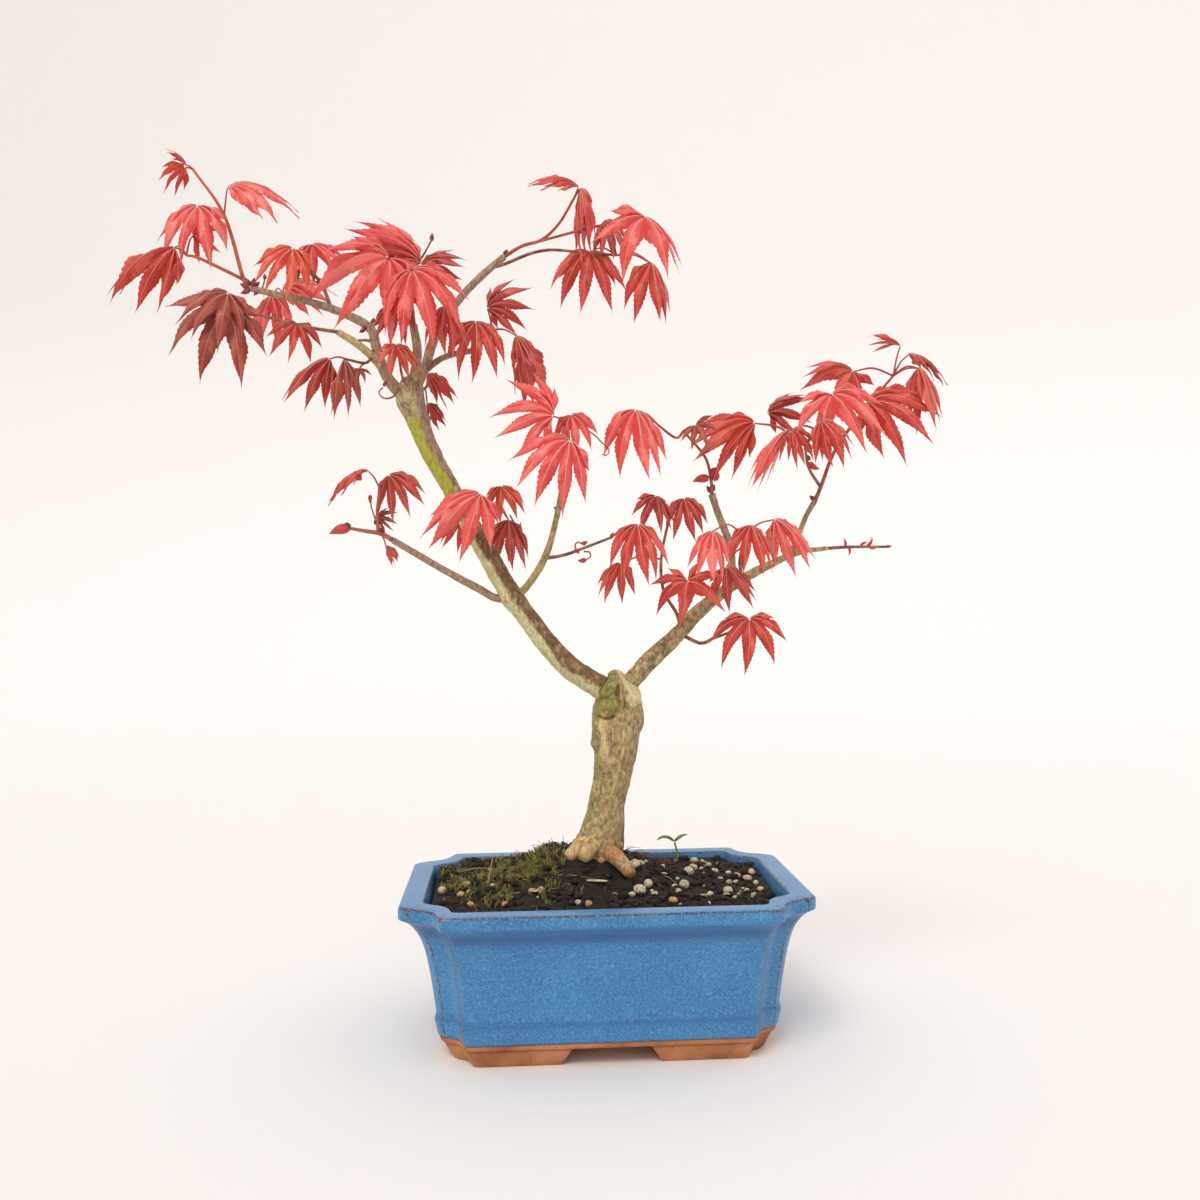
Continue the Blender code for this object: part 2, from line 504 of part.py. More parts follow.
def build_feet(parent):
    """Four clay feet that wrap the corners, with sloping inner ends."""
    for name, flip_x, flip_y in (("foot_front_right", 1, 1), ("foot_front_left", -1, 1),
                                 ("foot_back_right", 1, -1), ("foot_back_left", -1, -1)):
        rings = []
        for z, taper, longer in ((0.0, 1.0, 0.0), (FOOT_TOP, FOOT_TAPER, FOOT_CHAMFER)):
            corner = plan(taper)[:8]
            panel, front = corner[0]
            tip, side = corner[-1]
            end_x = panel - FOOT_FRONT - longer
            end_y = side + FOOT_SIDE + longer
            ring = [(end_x, front)] + corner + [(tip, end_y), (tip - FOOT_THICK, end_y)]
            ring += [(tip - FOOT_THICK - 4.0, front + FOOT_THICK + 6.0), (panel - 6.0, front + FOOT_THICK)]
            ring += [(end_x, front + FOOT_THICK)]
            rings.append([(x * flip_x, y * flip_y, z) for x, y in ring])
        faces = ring_faces(2, len(rings[0]))
        if flip_x * flip_y < 0:
            faces = [tuple(reversed(face)) for face in faces]
        add_object(name, rings[0] + rings[1], faces, CLAY, parent)


def soil_height(x, y):
    across = ((x - MOUND_AT[0]) / MOUND_REACH[0]) ** 2
    back = ((y - MOUND_AT[1]) / MOUND_REACH[1]) ** 2
    return min(MOUND_TOP, SOIL_LEVEL + MOUND_RISE * math.exp(-across - back))


def soil_mesh(lift=0.0):
    """The filling of the pot, clear of its walls, with the mound on top; lifted for use as a cutter."""
    inset = RIM_WIDTH + SOIL_CLEARANCE
    floor = plan(FLOOR_TAPER, FLOOR_INSET + SOIL_CLEARANCE)
    points = [(x, y, FLOOR_TOP + GAP + lift) for x, y in floor]
    points += [(x, y, POT_HEIGHT - WALL_BEND + lift) for x, y in plan(BEND_TAPER, inset)]
    rim = plan(SOIL_TAPER, inset)
    for scale in SOIL_RINGS:
        for x, y in rim:
            z = SOIL_LEVEL if scale == 1.0 else soil_height(x * scale, y * scale)
            points.append((x * scale, y * scale, z + lift))
    points.append((0.0, 0.0, soil_height(0.0, 0.0) + lift))
    sides = len(rim)
    rings = len(SOIL_RINGS) + 2
    faces = [tuple(reversed(range(sides)))]
    for a, b, c, d in ring_faces(rings, sides)[:-2]:
        faces += [(a, b, c), (a, c, d)]
    last = (rings - 1) * sides
    faces += [(last + k, last + (k + 1) % sides, rings * sides) for k in range(sides)]
    return points, faces


# trunk and limbs


def placed(stations):
    return [(*at(x, z, y), diameter) for x, z, y, diameter in stations]


def cap_end(path, diameters):
    """Rounds a limb's free end with two short rings."""
    ahead = path[-1] - path[-2]
    ahead /= np.linalg.norm(ahead)
    size = diameters[-1]
    more = [path[-1] + ahead * size * 0.22, path[-1] + ahead * size * 0.32]
    return np.vstack([path, more]), np.append(diameters, [size * 0.78, size * 0.4])


def limb_shape(name):
    if name == "trunk":
        return smooth_path(placed([(x, z, TRUNK_DEPTH, d) for x, z, d in TRUNK]), LIMB_STEP)
    return smooth_path(placed(LIMBS[name][1]), LIMB_STEP)


def limb_object(name, label, grown, spec, tree):
    """A limb's tube, or with grown a slightly fatter and longer copy that cuts what grows from it."""
    path, diameters = limb_shape(name)
    if name in ("trunk", "bough_left"):
        path, diameters = cap_end(path, diameters)
    if grown:
        path[-1] += unit(path[-1] - path[-2]) * grown
    sides = LIMB_SIDES.get(name, BRANCH_SIDES)
    points, faces = tube(path, diameters + 2 * grown, sides)
    return add_object(label, points, faces, spec, tree)


def build_trunk(tree, planting):
    trunk = limb_object("trunk", "trunk", 0.0, BARK, tree)
    roots = []
    for k, (start, end, wide, narrow) in enumerate(ROOTS):
        middle = tuple((a + b) / 2 + up for a, b, up in zip(start, end, (0, 1.5, 0)))
        path, diameters = smooth_path(placed([(*start, wide), (*middle, wide * 0.9), (*end, narrow)]), 5.0)
        path, diameters = cap_end(path, diameters)
        points, faces = tube(path, diameters, 8)
        roots.append(add_object(f"root_{k}", points, faces, BARK, tree))
    modify(trunk, "UNION", roots)
    points, faces = soil_mesh(CUT)
    soil_top = add_object("soil_top", points, faces, SOIL, planting)
    modify(trunk, "DIFFERENCE", [soil_top])
    keep_one_body(trunk)


def build_limb(name, tree):
    """One tapering limb, cut clear of what it grows from."""
    parents = LIMBS[name][0]
    spec = BARK if name.startswith("bough") else YOUNG_BARK
    limb = limb_object(name, name, 0.0, spec, tree)
    cutters = [limb_object(p, f"{name}_cutter_{p}", CUT, spec, tree) for p in parents]
    modify(limb, "DIFFERENCE", cutters)
    keep_far_body(limb, at(*LIMBS[name][1][-1][:3]))


def keep_far_body(obj, end):
    """Keeps the piece of a cut limb that reaches its tip."""
    mesh = bmesh.new()
    mesh.from_mesh(obj.data)
    mesh.verts.ensure_lookup_table()
    tip = Vector(end) * MM
    start = min(mesh.verts, key=lambda v: (v.co - tip).length)
    kept, front = {start}, [start]
    while front:
        for edge in front.pop().link_edges:
            for vertex in edge.verts:
                if vertex not in kept:
                    kept.add(vertex)
                    front.append(vertex)
    scraps = [vertex for vertex in mesh.verts if vertex not in kept]
    bmesh.ops.delete(mesh, geom=scraps, context="VERTS")
    mesh.to_mesh(obj.data)
    mesh.free()


# leaves


def unit(vector):
    return vector / np.linalg.norm(vector)


def lobe_direction(leaf, share):
    """The direction of the blade at a share of its spread, -1 at the first lobe and 1 at the last.

    On a leaf seen face-on the lobes lie in the elevation. The narrower its fan looks, the more the outer
    lobes swing away in depth, so that neighbours keep about their real angle.
    """
    first, aim, last, turn = leaf[4:8]
    edge = first if share < 0 else last
    angle = math.radians(aim + (edge - aim) * abs(share))
    bow = CUP * max(0.0, FULL_SPREAD - abs(edge - aim))
    cup = bow * (CUP_EVEN - abs(share))
    toward = math.radians((1 - abs(turn)) * cup + turn * bow * share)
    flat = math.cos(toward)
    return np.array([math.cos(angle) * flat, -math.sin(toward), math.sin(angle) * flat])


def leaf_outline(leaf, base):
    """The tips of the lobes and the notches between them."""
    length = leaf[3] / math.cos(math.asin(abs(lobe_direction(leaf, 0.0)[1])))
    lobes = LOBE_SHARE if leaf[3] >= SMALL_LEAF else LOBE_SHARE[1:-1]
    shares = np.linspace(-1, 1, len(lobes))
    tips = [base + lobe_direction(leaf, share) * length * lobe for share, lobe in zip(shares, lobes)]
    notches = []
    for k in range(len(shares) - 1):
        ahead = lobe_direction(leaf, (shares[k] + shares[k + 1]) / 2) * (lobes[k] + lobes[k + 1]) / 2
        notches.append(base + ahead * SINUS * length)
    return tips, notches


def leaf_mesh(leaf, base):
    """A closed blade: two skins that meet along the outline and part over its heart."""
    tips, notches = leaf_outline(leaf, base)
    aim = lobe_direction(leaf, 0.0)
    outline = [base - aim * leaf[3] * HEEL]
    for tip, notch in zip(tips, notches):
        outline += [tip, notch]
    outline.append(tips[-1])
    core = base + aim * leaf[3] * CORE
    facing = sum(np.cross(a - core, b - core) for a, b in zip(outline, outline[1:] + outline[:1]))
    thick = unit(facing) * max(LEAF_THINNEST, LEAF_THICK * leaf[3]) / 2
    count = len(outline)
    faces = []
    for k in range(count):
        after = (k + 1) % count
        faces.append((count, k, after))
        faces.append((count + 1, after, k))
    return outline + [core + thick, core - thick], faces


def stalk_path(start, base, into):
    """A leaf stalk from its twig, rising and then bending over into the blade."""
    reach = np.linalg.norm(base - start)
    lift = np.array([0, 0, STALK_RISE * reach])
    return [start, start + (base - start) * 0.5 + lift, base, base + into]


# masses


def in_room(points, room):
    """True when every point, slid back to the elevation, lies in one of the room's boxes."""
    for p in points:
        reach = (EYE_DISTANCE + p[1]) / EYE_DISTANCE
        place = (p[0] / reach, p[1], p[2] / reach + EYE_IN_DRAWING)
        if not any(all(low <= v <= high for v, (low, high) in zip(place, box)) for box in room):
            return False
    return True


def clear_of_limbs(points, limbs, room_around):
    """True when no point comes within a limb's radius and the room around it."""
    for path, diameters in limbs:
        for p in points:
            reach = np.linalg.norm(path - p, axis=1) - diameters / 2
            if reach.min() < room_around:
                return False
    return True


def spread_points(leaf, base):
    """Points over a blade for the tests of room and limbs."""
    tips, notches = leaf_outline(leaf, base)
    return [base + (tip - base) * share for tip in tips for share in (0.3, 0.5, 0.7, 0.85, 1.0)] + notches


def nearest_node(base, stems):
    nodes = [node for path in stems for node in path[1:]]
    return min(nodes, key=lambda node: np.linalg.norm(node - base))


def back_twin(leaf, rng):
    """The opposite leaf of a pair: behind the first one, a little smaller."""
    x, z, y, length, first, aim, last, turn = leaf
    deeper = rng.uniform(*BACK_LEAF_DEPTH)
    return (x, z, y + deeper, length * BACK_LEAF_SCALE, first, aim, last, -turn)


def build_mass(name, tree, limbs):
    """Stem, forks, leaf stalks, leaves and buds of one mass, fused into one solid."""
    spec = MASSES[name]
    rng = random.Random(SEED + sum(map(ord, name)))
    room = spec["room"]
    stems = [[at(*node) for node in path] for path in spec["stem"]]
    limb, _ = smooth_path(placed(LIMBS[spec["meets"]][1]), 1.0)
    stems[0][0] = min(limb, key=lambda point: np.linalg.norm(point - stems[0][0]))
    pieces, skipped = [], []
    for k, path in enumerate(stems):
        wide = spec["twig"] if k == 0 else spec["twig"] * FORK_WIDTH
        diameters = np.linspace(wide, max(TWIG_TIP, wide * END_WIDTH), len(path))
        stations = [(*node, d) for node, d in zip(path, diameters)]
        points, faces = tube(*smooth_path(stations, TWIG_STEP), TWIG_SIDES)
        pieces.append(add_object(name if k == 0 else f"{name}_fork_{k}", points, faces, LEAF, tree))
    leaves = list(spec["leaves"])
    for leaf in spec["leaves"]:
        if leaf[3] >= BACK_LEAF_FROM and rng.random() < BACK_LEAF_SHARE:
            leaves.append(back_twin(leaf, rng))
    for k, leaf in enumerate(leaves):
        base = at(*leaf[:3])
        if not in_room(spread_points(leaf, base), room):
            skipped.append(("room", leaf))
            continue
        if not clear_of_limbs(spread_points(leaf, base), limbs, LEAF_TO_LIMB):
            skipped.append(("limb", leaf))
            continue
        into = lobe_direction(leaf, 0.0) * leaf[3] * STALK_INTO_BLADE
        path = stalk_path(nearest_node(base, stems), base, into)
        points, faces = tube(np.array(path), STALK * np.array(STALK_TAPER), STALK_SIDES)
        pieces.append(add_object(f"{name}_stalk_{k}", points, faces, LEAF, tree))
        points, faces = leaf_mesh(leaf, base)
        pieces.append(add_object(f"{name}_leaf_{k}", points, faces, LEAF, tree))
    for k, node in enumerate(node for path in stems for node in path[1:]):
        if rng.random() > BUD_SHARE:
            continue
        ahead = unit(np.array([rng.uniform(-1, 1), rng.uniform(-1, 1), rng.uniform(-0.2, 1)]))
        end = node + ahead * rng.uniform(*BUD_LENGTH)
        if not in_room([end], room) or not clear_of_limbs([end], limbs, BUD_TO_LIMB):
            continue
        points, faces = tube(np.array([node, (node + end) / 2, end]), np.array(BUD_WIDTHS), STALK_SIDES)
        pieces.append(add_object(f"{name}_bud_{k}", points, faces, LEAF, tree))
    if len(pieces) > 1:
        modify(pieces[0], "UNION", pieces[1:], "MANIFOLD")
    cutter = limb_object(spec["meets"], f"{name}_cutter", CUT, LEAF, tree)
    modify(pieces[0], "DIFFERENCE", [cutter], "MANIFOLD")
    dropped = keep_one_body(pieces[0])
    print(f"{name}: {len(leaves) - len(skipped)} leaves, {dropped} scraps dropped, skipped {skipped}")


# the whole


def empty(name, height):
    holder = bpy.data.objects.new(name, None)
    bpy.context.scene.collection.objects.link(holder)
    holder.location = (0.0, 0.0, height * MM)
    return holder


def centre_on_floor(holders):
    """Moves the two empties so that the whole stands at the origin, centred over its box."""
    bpy.context.view_layer.update()
    corners = [obj.matrix_world @ vertex.co for obj in bpy.data.objects if obj.type == "MESH"
               for vertex in obj.data.vertices]
    low = [min(c[k] for c in corners) for k in range(3)]
    high = [max(c[k] for c in corners) for k in range(3)]
    shift = Vector(((low[0] + high[0]) / 2, (low[1] + high[1]) / 2, low[2]))
    for holder in holders:
        holder.location = holder.location - shift
    print("size", [round((b - a) / MM, 1) for a, b in zip(low, high)], "shift", [s / MM for s in shift])


def main():
    clear_scene()
    planting = empty("planting", 0.0)
    tree = empty("tree", EYE_HEIGHT)
    tree.rotation_euler = (0.0, TREE_LEAN, TREE_TURN)
    build_pot(planting)
    build_base(planting)
    build_feet(planting)
    points, faces = soil_mesh()
    add_object("soil", points, faces, SOIL, planting)
    build_trunk(tree, planting)
    for name in LIMBS:
        build_limb(name, tree)
    limbs = [limb_shape(name) for name in ("trunk", *LIMBS)]
    for name in MASSES:
        build_mass(name, tree, limbs)
    centre_on_floor([planting, tree])


main()
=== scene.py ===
# A small red-leaved maple in a blue stepped pot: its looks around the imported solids.
# Lengths are in millimetres until a mesh is made, and in metres in the mesh.
import math
import random

import bpy
import numpy as np
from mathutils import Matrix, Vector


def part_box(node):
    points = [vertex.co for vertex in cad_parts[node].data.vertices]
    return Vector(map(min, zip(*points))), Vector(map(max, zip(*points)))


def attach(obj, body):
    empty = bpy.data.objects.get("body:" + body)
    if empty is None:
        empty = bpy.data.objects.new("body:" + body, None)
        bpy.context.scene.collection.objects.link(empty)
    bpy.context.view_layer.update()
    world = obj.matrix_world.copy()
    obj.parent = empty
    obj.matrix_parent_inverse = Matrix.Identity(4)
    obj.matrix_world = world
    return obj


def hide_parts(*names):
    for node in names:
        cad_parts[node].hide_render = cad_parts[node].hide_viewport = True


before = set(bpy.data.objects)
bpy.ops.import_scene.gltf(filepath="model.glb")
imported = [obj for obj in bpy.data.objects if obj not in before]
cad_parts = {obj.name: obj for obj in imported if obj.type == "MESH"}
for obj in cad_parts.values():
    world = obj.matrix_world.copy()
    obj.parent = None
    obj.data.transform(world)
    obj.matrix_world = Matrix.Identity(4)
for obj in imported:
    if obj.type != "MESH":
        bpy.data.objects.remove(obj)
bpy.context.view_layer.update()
mm = 0.001
seed = 41
potLow, potHigh = (np.array(corner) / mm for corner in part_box("pot"))
potAxis = (potLow + potHigh) / 2
print("frame loaded with", len(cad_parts), "nodes, pot axis at", potAxis.round(2))


# The tree is drawn on its front elevation: x to the right and z up, at a depth y away from the front.
# Every point slides along the sight line of an eye in front, and the tree then stands turned and leaning.
sightLine = {"distance": 623.0, "eyeInDrawing": 212.0, "eyeHeight": 217.4, "turn": -4.0, "lean": 0.5}


def slid(drawn):  # x, z, y of the drawing; x and z grow with depth by (distance + y) / distance
    drawn = np.asarray(drawn, float)
    reach = (sightLine["distance"] + drawn[..., 2:3]) / sightLine["distance"]
    up = (drawn[..., 1:2] - sightLine["eyeInDrawing"]) * reach
    return np.concatenate([drawn[..., :1] * reach, drawn[..., 2:3], up], axis=-1)


def planted(points):  # from the tree's own space to the room: leaned, turned, then set over the pot
    turn, lean = math.radians(sightLine["turn"]), math.radians(sightLine["lean"])
    leaned = np.array([[math.cos(lean), 0, math.sin(lean)], [0, 1, 0], [-math.sin(lean), 0, math.cos(lean)]])
    turned = np.array([[math.cos(turn), -math.sin(turn), 0], [math.sin(turn), math.cos(turn), 0], [0, 0, 1]])
    return points @ (turned @ leaned).T + [potAxis[0], potAxis[1], sightLine["eyeHeight"]]


def potted(points):  # from the pot's own space to the room
    return points + [potAxis[0], potAxis[1], 0.0]


# ways to make surfaces and meshes


def unit(vectors):
    return vectors / np.maximum(np.linalg.norm(vectors, axis=-1, keepdims=True), 1e-9)


def smoothStep(low, high, values):
    share = np.clip((values - low) / (high - low), 0, 1)
    return share * share * (3 - 2 * share)


def bell(values, middle, reach):  # 1 at the middle, and e^-1 at this reach to either side
    return np.exp(-((values - middle) / reach) ** 2)


def wander(points, size, seed=0):
    # Smooth noise from -1 to 1: a hashed number at each corner of cells of this size, blended between
    # them by a cubic step along each axis.
    places = np.asarray(points, float) / size + 31.7 + seed * 7.13
    low = np.floor(places).astype(np.int64)
    part = smoothStep(0, 1, places - low)
    total = 0.0
    for corner in range(8):
        step = np.array([corner & 1, corner >> 1 & 1, corner >> 2 & 1])
        at = low + step
        mixed = at[..., 0] * 73856093 ^ at[..., 1] * 19349663 ^ at[..., 2] * 83492791 ^ seed * 2971
        mixed = (mixed ^ mixed >> 13) * 1274126177 & 0x7fffffff
        mixed = (mixed ^ mixed >> 15) * 2246822519 & 0x7fffffff
        total = total + np.prod(np.where(step, part, 1 - part), axis=-1) * (mixed / 0x7fffffff)
    return total * 2 - 1


def layered(points, size, seed=0, layers=3):  # noise plus halves of noise at half the size, and so on
    total = sum(wander(points, size / 2**k, seed + k) / 2**k for k in range(layers))
    return total / (2 - 2.0 ** (1 - layers))


def curveThrough(stations, step=1.0, cuts=None):
    # A Catmull-Rom curve through rows of any width, each span cut into pieces of about this length or into
    # so many pieces.
    stations = np.asarray(stations, float)
    rows = np.vstack([2 * stations[0] - stations[1], stations, 2 * stations[-1] - stations[-2]])
    out = []
    for a, b, c, d in zip(rows, rows[1:], rows[2:], rows[3:]):
        count = cuts or max(1, round(np.linalg.norm((c - b)[:3]) / step))
        t = (np.arange(count) / count)[:, None]
        out.append(0.5 * (2 * b + (c - a) * t + (2 * a - 5 * b + 4 * c - d) * t**2
                          + (3 * b - a - 3 * c + d) * t**3))
    return np.vstack(out + [stations[-1:]])


def circle(sides):  # x and y of this many points around a circle of radius 1
    around = 2 * math.pi * np.arange(sides) / sides
    return np.stack([np.cos(around), np.sin(around)], axis=-1)


def gridFaces(rows, columns, closed=True, start=0):  # quads between the rows of a grid of points
    wide = columns if closed else columns - 1
    r, c = np.meshgrid(np.arange(rows - 1), np.arange(wide), indexing="ij")
    after = (c + 1) % columns
    corners = [r * columns + c, r * columns + after, (r + 1) * columns + after, (r + 1) * columns + c]
    return np.stack(corners, axis=-1).reshape(-1, 4) + start


def ringFaces(rows, columns):  # the same, with one face over the first ring and one over the last
    ring = np.arange(columns)
    return [gridFaces(rows, columns), np.stack([ring[::-1], ring + (rows - 1) * columns])]


def spokes(path, sides):  # the direction of a path, and the directions of a circle of points across it
    ahead, face = unit(np.gradient(path, axis=0)), circle(sides)
    side = unit(np.cross(ahead, (0.3, 1.0, 0.2)))
    return ahead, side[:, None] * face[:, :1] + np.cross(ahead, side)[:, None] * face[:, 1:]


def tubeSurface(path, radii, sides, relief=0):
    # A circle of each radius across the path, with the relief added to the radius.
    across = spokes(path, sides)[1]
    points = path[:, None] + across * (radii[:, None] + np.broadcast_to(relief, across.shape[:2]))[..., None]
    return points.reshape(-1, 3), ringFaces(len(path), sides)


class Gathered:
    # Surfaces collected for one mesh: points, faces, the finish of each face and fields on the points.
    def __init__(self):
        self.points, self.faces, self.finish, self.fields, self.count = [], [], [], {}, 0

    def add(self, points, faceSets, finish=0, fields=None):
        for faces in faceSets:
            self.faces.append(np.asarray(faces) + self.count)
            self.finish.append(np.broadcast_to(finish, len(faces)))
        for name, values in (fields or {}).items():
            self.fields.setdefault(name, []).append((self.count, np.broadcast_to(values, len(points))))
        self.points.append(points)
        self.count += len(points)

    def piece(self, name, finishes, place, smooth=True):
        # The mesh, with its place in its vertices and its object at the origin.
        mesh = bpy.data.meshes.new(name)
        points = place(np.vstack(self.points)) * mm
        corners = np.concatenate([faces.ravel() for faces in self.faces])
        sizes = np.concatenate([np.full(len(faces), faces.shape[1]) for faces in self.faces])
        mesh.vertices.add(len(points))
        mesh.vertices.foreach_set("co", points.ravel())
        mesh.loops.add(len(corners))
        mesh.loops.foreach_set("vertex_index", corners.astype(np.int32))
        mesh.polygons.add(len(sizes))
        mesh.polygons.foreach_set("loop_start", (np.cumsum(sizes) - sizes).astype(np.int32))
        mesh.polygons.foreach_set("material_index", np.concatenate(self.finish).astype(np.int32))
        mesh.polygons.foreach_set("use_smooth", np.full(len(sizes), smooth))
        for finish in finishes:
            mesh.materials.append(finish)
        for field, parts in self.fields.items():
            values = np.zeros(len(points), np.float32)
            for start, part in parts:
                values[start:start + len(part)] = part
            mesh.attributes.new(field, "FLOAT", "POINT").data.foreach_set("value", values)
        mesh.update(calc_edges=True)
        obj = bpy.data.objects.new(name, mesh)
        bpy.context.scene.collection.objects.link(obj)
        print(f"{name}: {int((sizes - 2).sum())} triangles")
        return obj


def dress(obj, slot, *nodes):  # the piece rides on the one body and stands for its nodes; the slot is not used
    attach(obj, "root")
    if nodes:
        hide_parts(*nodes)


# ways to make finishes


def linear(hexCode):  # an sRGB hex colour in linear light
    levels = [int(hexCode[k:k + 2], 16) / 255 for k in (1, 3, 5)]
    return (*[c / 12.92 if c <= 0.04045 else ((c + 0.055) / 1.055) ** 2.4 for c in levels], 1.0)


def newFinish(name, **sockets):  # a socket's name is written with _ for its spaces
    finish = bpy.data.materials.new(name)
    finish.use_nodes = True
    for socket, value in sockets.items():
        value = linear(value) if isinstance(value, str) else value
        finish.node_tree.nodes["Principled BSDF"].inputs[socket.replace("_", " ")].default_value = value
    return finish


def addNode(finish, kind, settings, out=0):
    # A node with its settings, which are its own, its colour stops or its sockets', and what feeds a socket.
    # It gives back one of its outputs.
    node = finish.node_tree.nodes.new("ShaderNode" + kind)
    for name, value in settings.items():
        if name == "stops":
            for place, _ in value[1:-1]:
                node.color_ramp.elements.new(place)
            node.color_ramp.elements[0].position = value[0][0]
            node.color_ramp.elements[-1].position = value[-1][0]
            for element, (_, colour) in zip(node.color_ramp.elements, value):
                element.color = linear(colour)
        elif isinstance(value, bpy.types.NodeSocket):
            finish.node_tree.links.new(value, node.inputs[name])
        elif isinstance(name, str) and hasattr(node, name):
            setattr(node, name, value)
        else:
            node.inputs[name].default_value = linear(value) if isinstance(value, str) else value
    return node.outputs[out]


def feed(finish, grain, bump, colour):  # the shader takes the colour, and a bump of a strength and mm deep
    shader = finish.node_tree.nodes["Principled BSDF"]
    finish.node_tree.links.new(colour, shader.inputs["Base Color"])
    if bump:
        relief = addNode(finish, "Bump", {"Height": grain, "Strength": bump[0], "Distance": bump[1] * mm})
        finish.node_tree.links.new(relief, shader.inputs["Normal"])


def grainy(finish, scale, detail, stops, coats=(), bump=()):
    # The colour follows a noise through the stops. Each coat lies over it as strongly as a field on the
    # points says, by the same noise through its own stops. The bump is its strength and its depth in mm.
    here = addNode(finish, "TexCoord", {}, "Object")
    grain = addNode(finish, "TexNoise", {"Vector": here, "Scale": scale, "Detail": detail})
    colour = addNode(finish, "ValToRGB", {"Fac": grain, "stops": stops})
    for field, *stops in coats:
        share = addNode(finish, "Attribute", {"attribute_name": field}, "Fac")
        shade = addNode(finish, "ValToRGB", {"Fac": grain, "stops": stops})
        colour = addNode(finish, "Mix", {"data_type": "RGBA", 0: share, 6: colour, 7: shade}, 2)
    feed(finish, grain, bump, colour)
    return finish


# Pot, base and feet

pot = {
    "height": 74.0,
    # half the panel, half the length, half the depth and the corner's recess: size, taper and share of insets
    "plan": ((79.0, 14.3, 0.45), (100.0, 25.1, 1.0), (71.6, 16.3, 1.0), (23.7, 10.3, 0.35)),
    "corner": (  # from panel to tip: shares of the way out plus mm, and shares of the recess plus mm
        (0, -3.0, 0, 0), (0, -0.4, 0, 1.0), (0.06, 0, 0.2, 0), (0.16, 0, 0.46, 0), (0.38, 0, 0.68, 0),
        (0.66, 0, 0.8, 0), (1, -2.0, 1, -1.2), (1, 0, 1, 2.0)),
    "cornerCuts": 5, "panelCuts": 12, "arris": 1.5, "arrisSpots": (7, 9),
    "rimWidth": 11.5, "rimRounding": 1.6, "lipRounding": 1.3, "crown": 0.1, "neck": (70.0, 71.4),
    "inside": (71.0, 69.0, 66.0, 63.0, 60.0), "bendTaper": 0.1,
    "floor": (19.0, 0.62, 9.5),  # height, taper and inset
    "base": ((8.6, 0.78), (9.0, 0.77), (11.0, 0.745)),
    "paintedShadeBands": ((62.5, 3.5, 1.0), (20.5, 1.6, 0.7)),  # where shade is painted into the glaze: height, reach and strength
    "profile": [  # height, share of the whole taper
        (11.3, 0.735), (12.4, 0.715), (19.6, 0.66), (21.6, 0.69), (30.0, 0.65), (42.0, 0.575), (50.0, 0.51),
        (56.0, 0.44), (61.0, 0.34), (65.0, 0.2), (66.8, 0.08), (67.6, 0.01), (68.6, 0.0)],
}
shares = np.array(pot["corner"], float).T
cornerRun = curveThrough(np.eye(len(pot["corner"])), cuts=pot["cornerCuts"])  # rounds the corner's points


def cornerPlan(tapers, insets):
    # The front right corner at each taper and inset: the panel's end, a hollow step back, the rounded tip.
    taper, inset = (np.atleast_1d(np.asarray(values, float))[:, None] for values in (tapers, insets))
    panel, tip, front, recess = (size - less * taper - share * inset for size, less, share in pot["plan"])
    x = panel + shares[0] * (tip - panel) + shares[1]
    y = shares[2] * recess + shares[3] - front
    return x @ cornerRun.T, y @ cornerRun.T


def planRings(heights, tapers, insets):
    # One closed ring for each height: four rounded corners with the long and short panels cut between them.
    x, y = cornerPlan(tapers, insets)
    quarters = [(x, y), (x[:, ::-1], -y[:, ::-1]), (-x, -y), (-x[:, ::-1], y[:, ::-1])]
    cuts = np.arange(1, pot["panelCuts"]) / pot["panelCuts"]
    columns = [[], []]
    for pair in zip(quarters, quarters[1:] + quarters[:1]):
        for axis, (near, after) in enumerate(zip(*pair)):
            columns[axis] += [near, near[:, -1:] + (after[:, :1] - near[:, -1:]) * cuts]
    x, y = (np.hstack(column) for column in columns)
    return np.stack([x, y, np.broadcast_to(np.asarray(heights, float)[:, None], x.shape)], axis=-1)


def arrisNearness():  # 1 along the upright edges where a panel or a tip ends, fading within 2 mm
    ring, run = planRings([0.0], [0.0], [0.0])[0], len(cornerRun)
    nearest, (fromPanel, fromTip) = np.full(len(ring), 1e9), pot["arrisSpots"]
    for quarter in range(4):
        for spot in (fromPanel, run - fromTip):
            spot = spot if quarter % 2 == 0 else run - 1 - spot
            away = np.linalg.norm(ring - ring[quarter * len(ring) // 4 + spot], axis=1)
            nearest = np.minimum(nearest, away)
    return bell(nearest, 0, pot["arris"])


def lathe(levels, name, finish, slot, node):
    # The body from rings that follow a profile: each level is height, taper, inset and how much its edge
    # breaks the glaze, closed below and on the floor inside. Painted shade darkens the glaze in the hollow
    # under the rim and over the plinth, and a painted reflection makes the rim's top paler.
    heights, tapers, insets, breaks = (np.array(column) for column in zip(*levels))
    outside = insets < pot["rimRounding"]
    # painted shade: the glaze is darker in the hollow under the rim and over the plinth
    deep = outside * sum(strength * bell(heights, at, reach) for at, reach, strength in pot["paintedShadeBands"])
    # painted reflection: the rim's top is paler
    paleTop = np.where((heights > pot["height"] - 0.5) & ~outside, 1.0, 0.0)
    rings = planRings(heights, tapers, insets)
    rows, columns = rings.shape[:2]
    upright = arrisNearness() * np.where(insets < pot["rimWidth"] - 3, 0.95, 0.0)[:, None]
    body = Gathered()
    body.add(rings.reshape(-1, 3), ringFaces(rows, columns), fields={
        "broken": np.clip(upright + breaks[:, None], 0, 1).ravel(),
        "deep": np.repeat(deep, columns), "paleTop": np.repeat(paleTop, columns)})
    dress(body.piece(name, [finish], potted), slot, node)


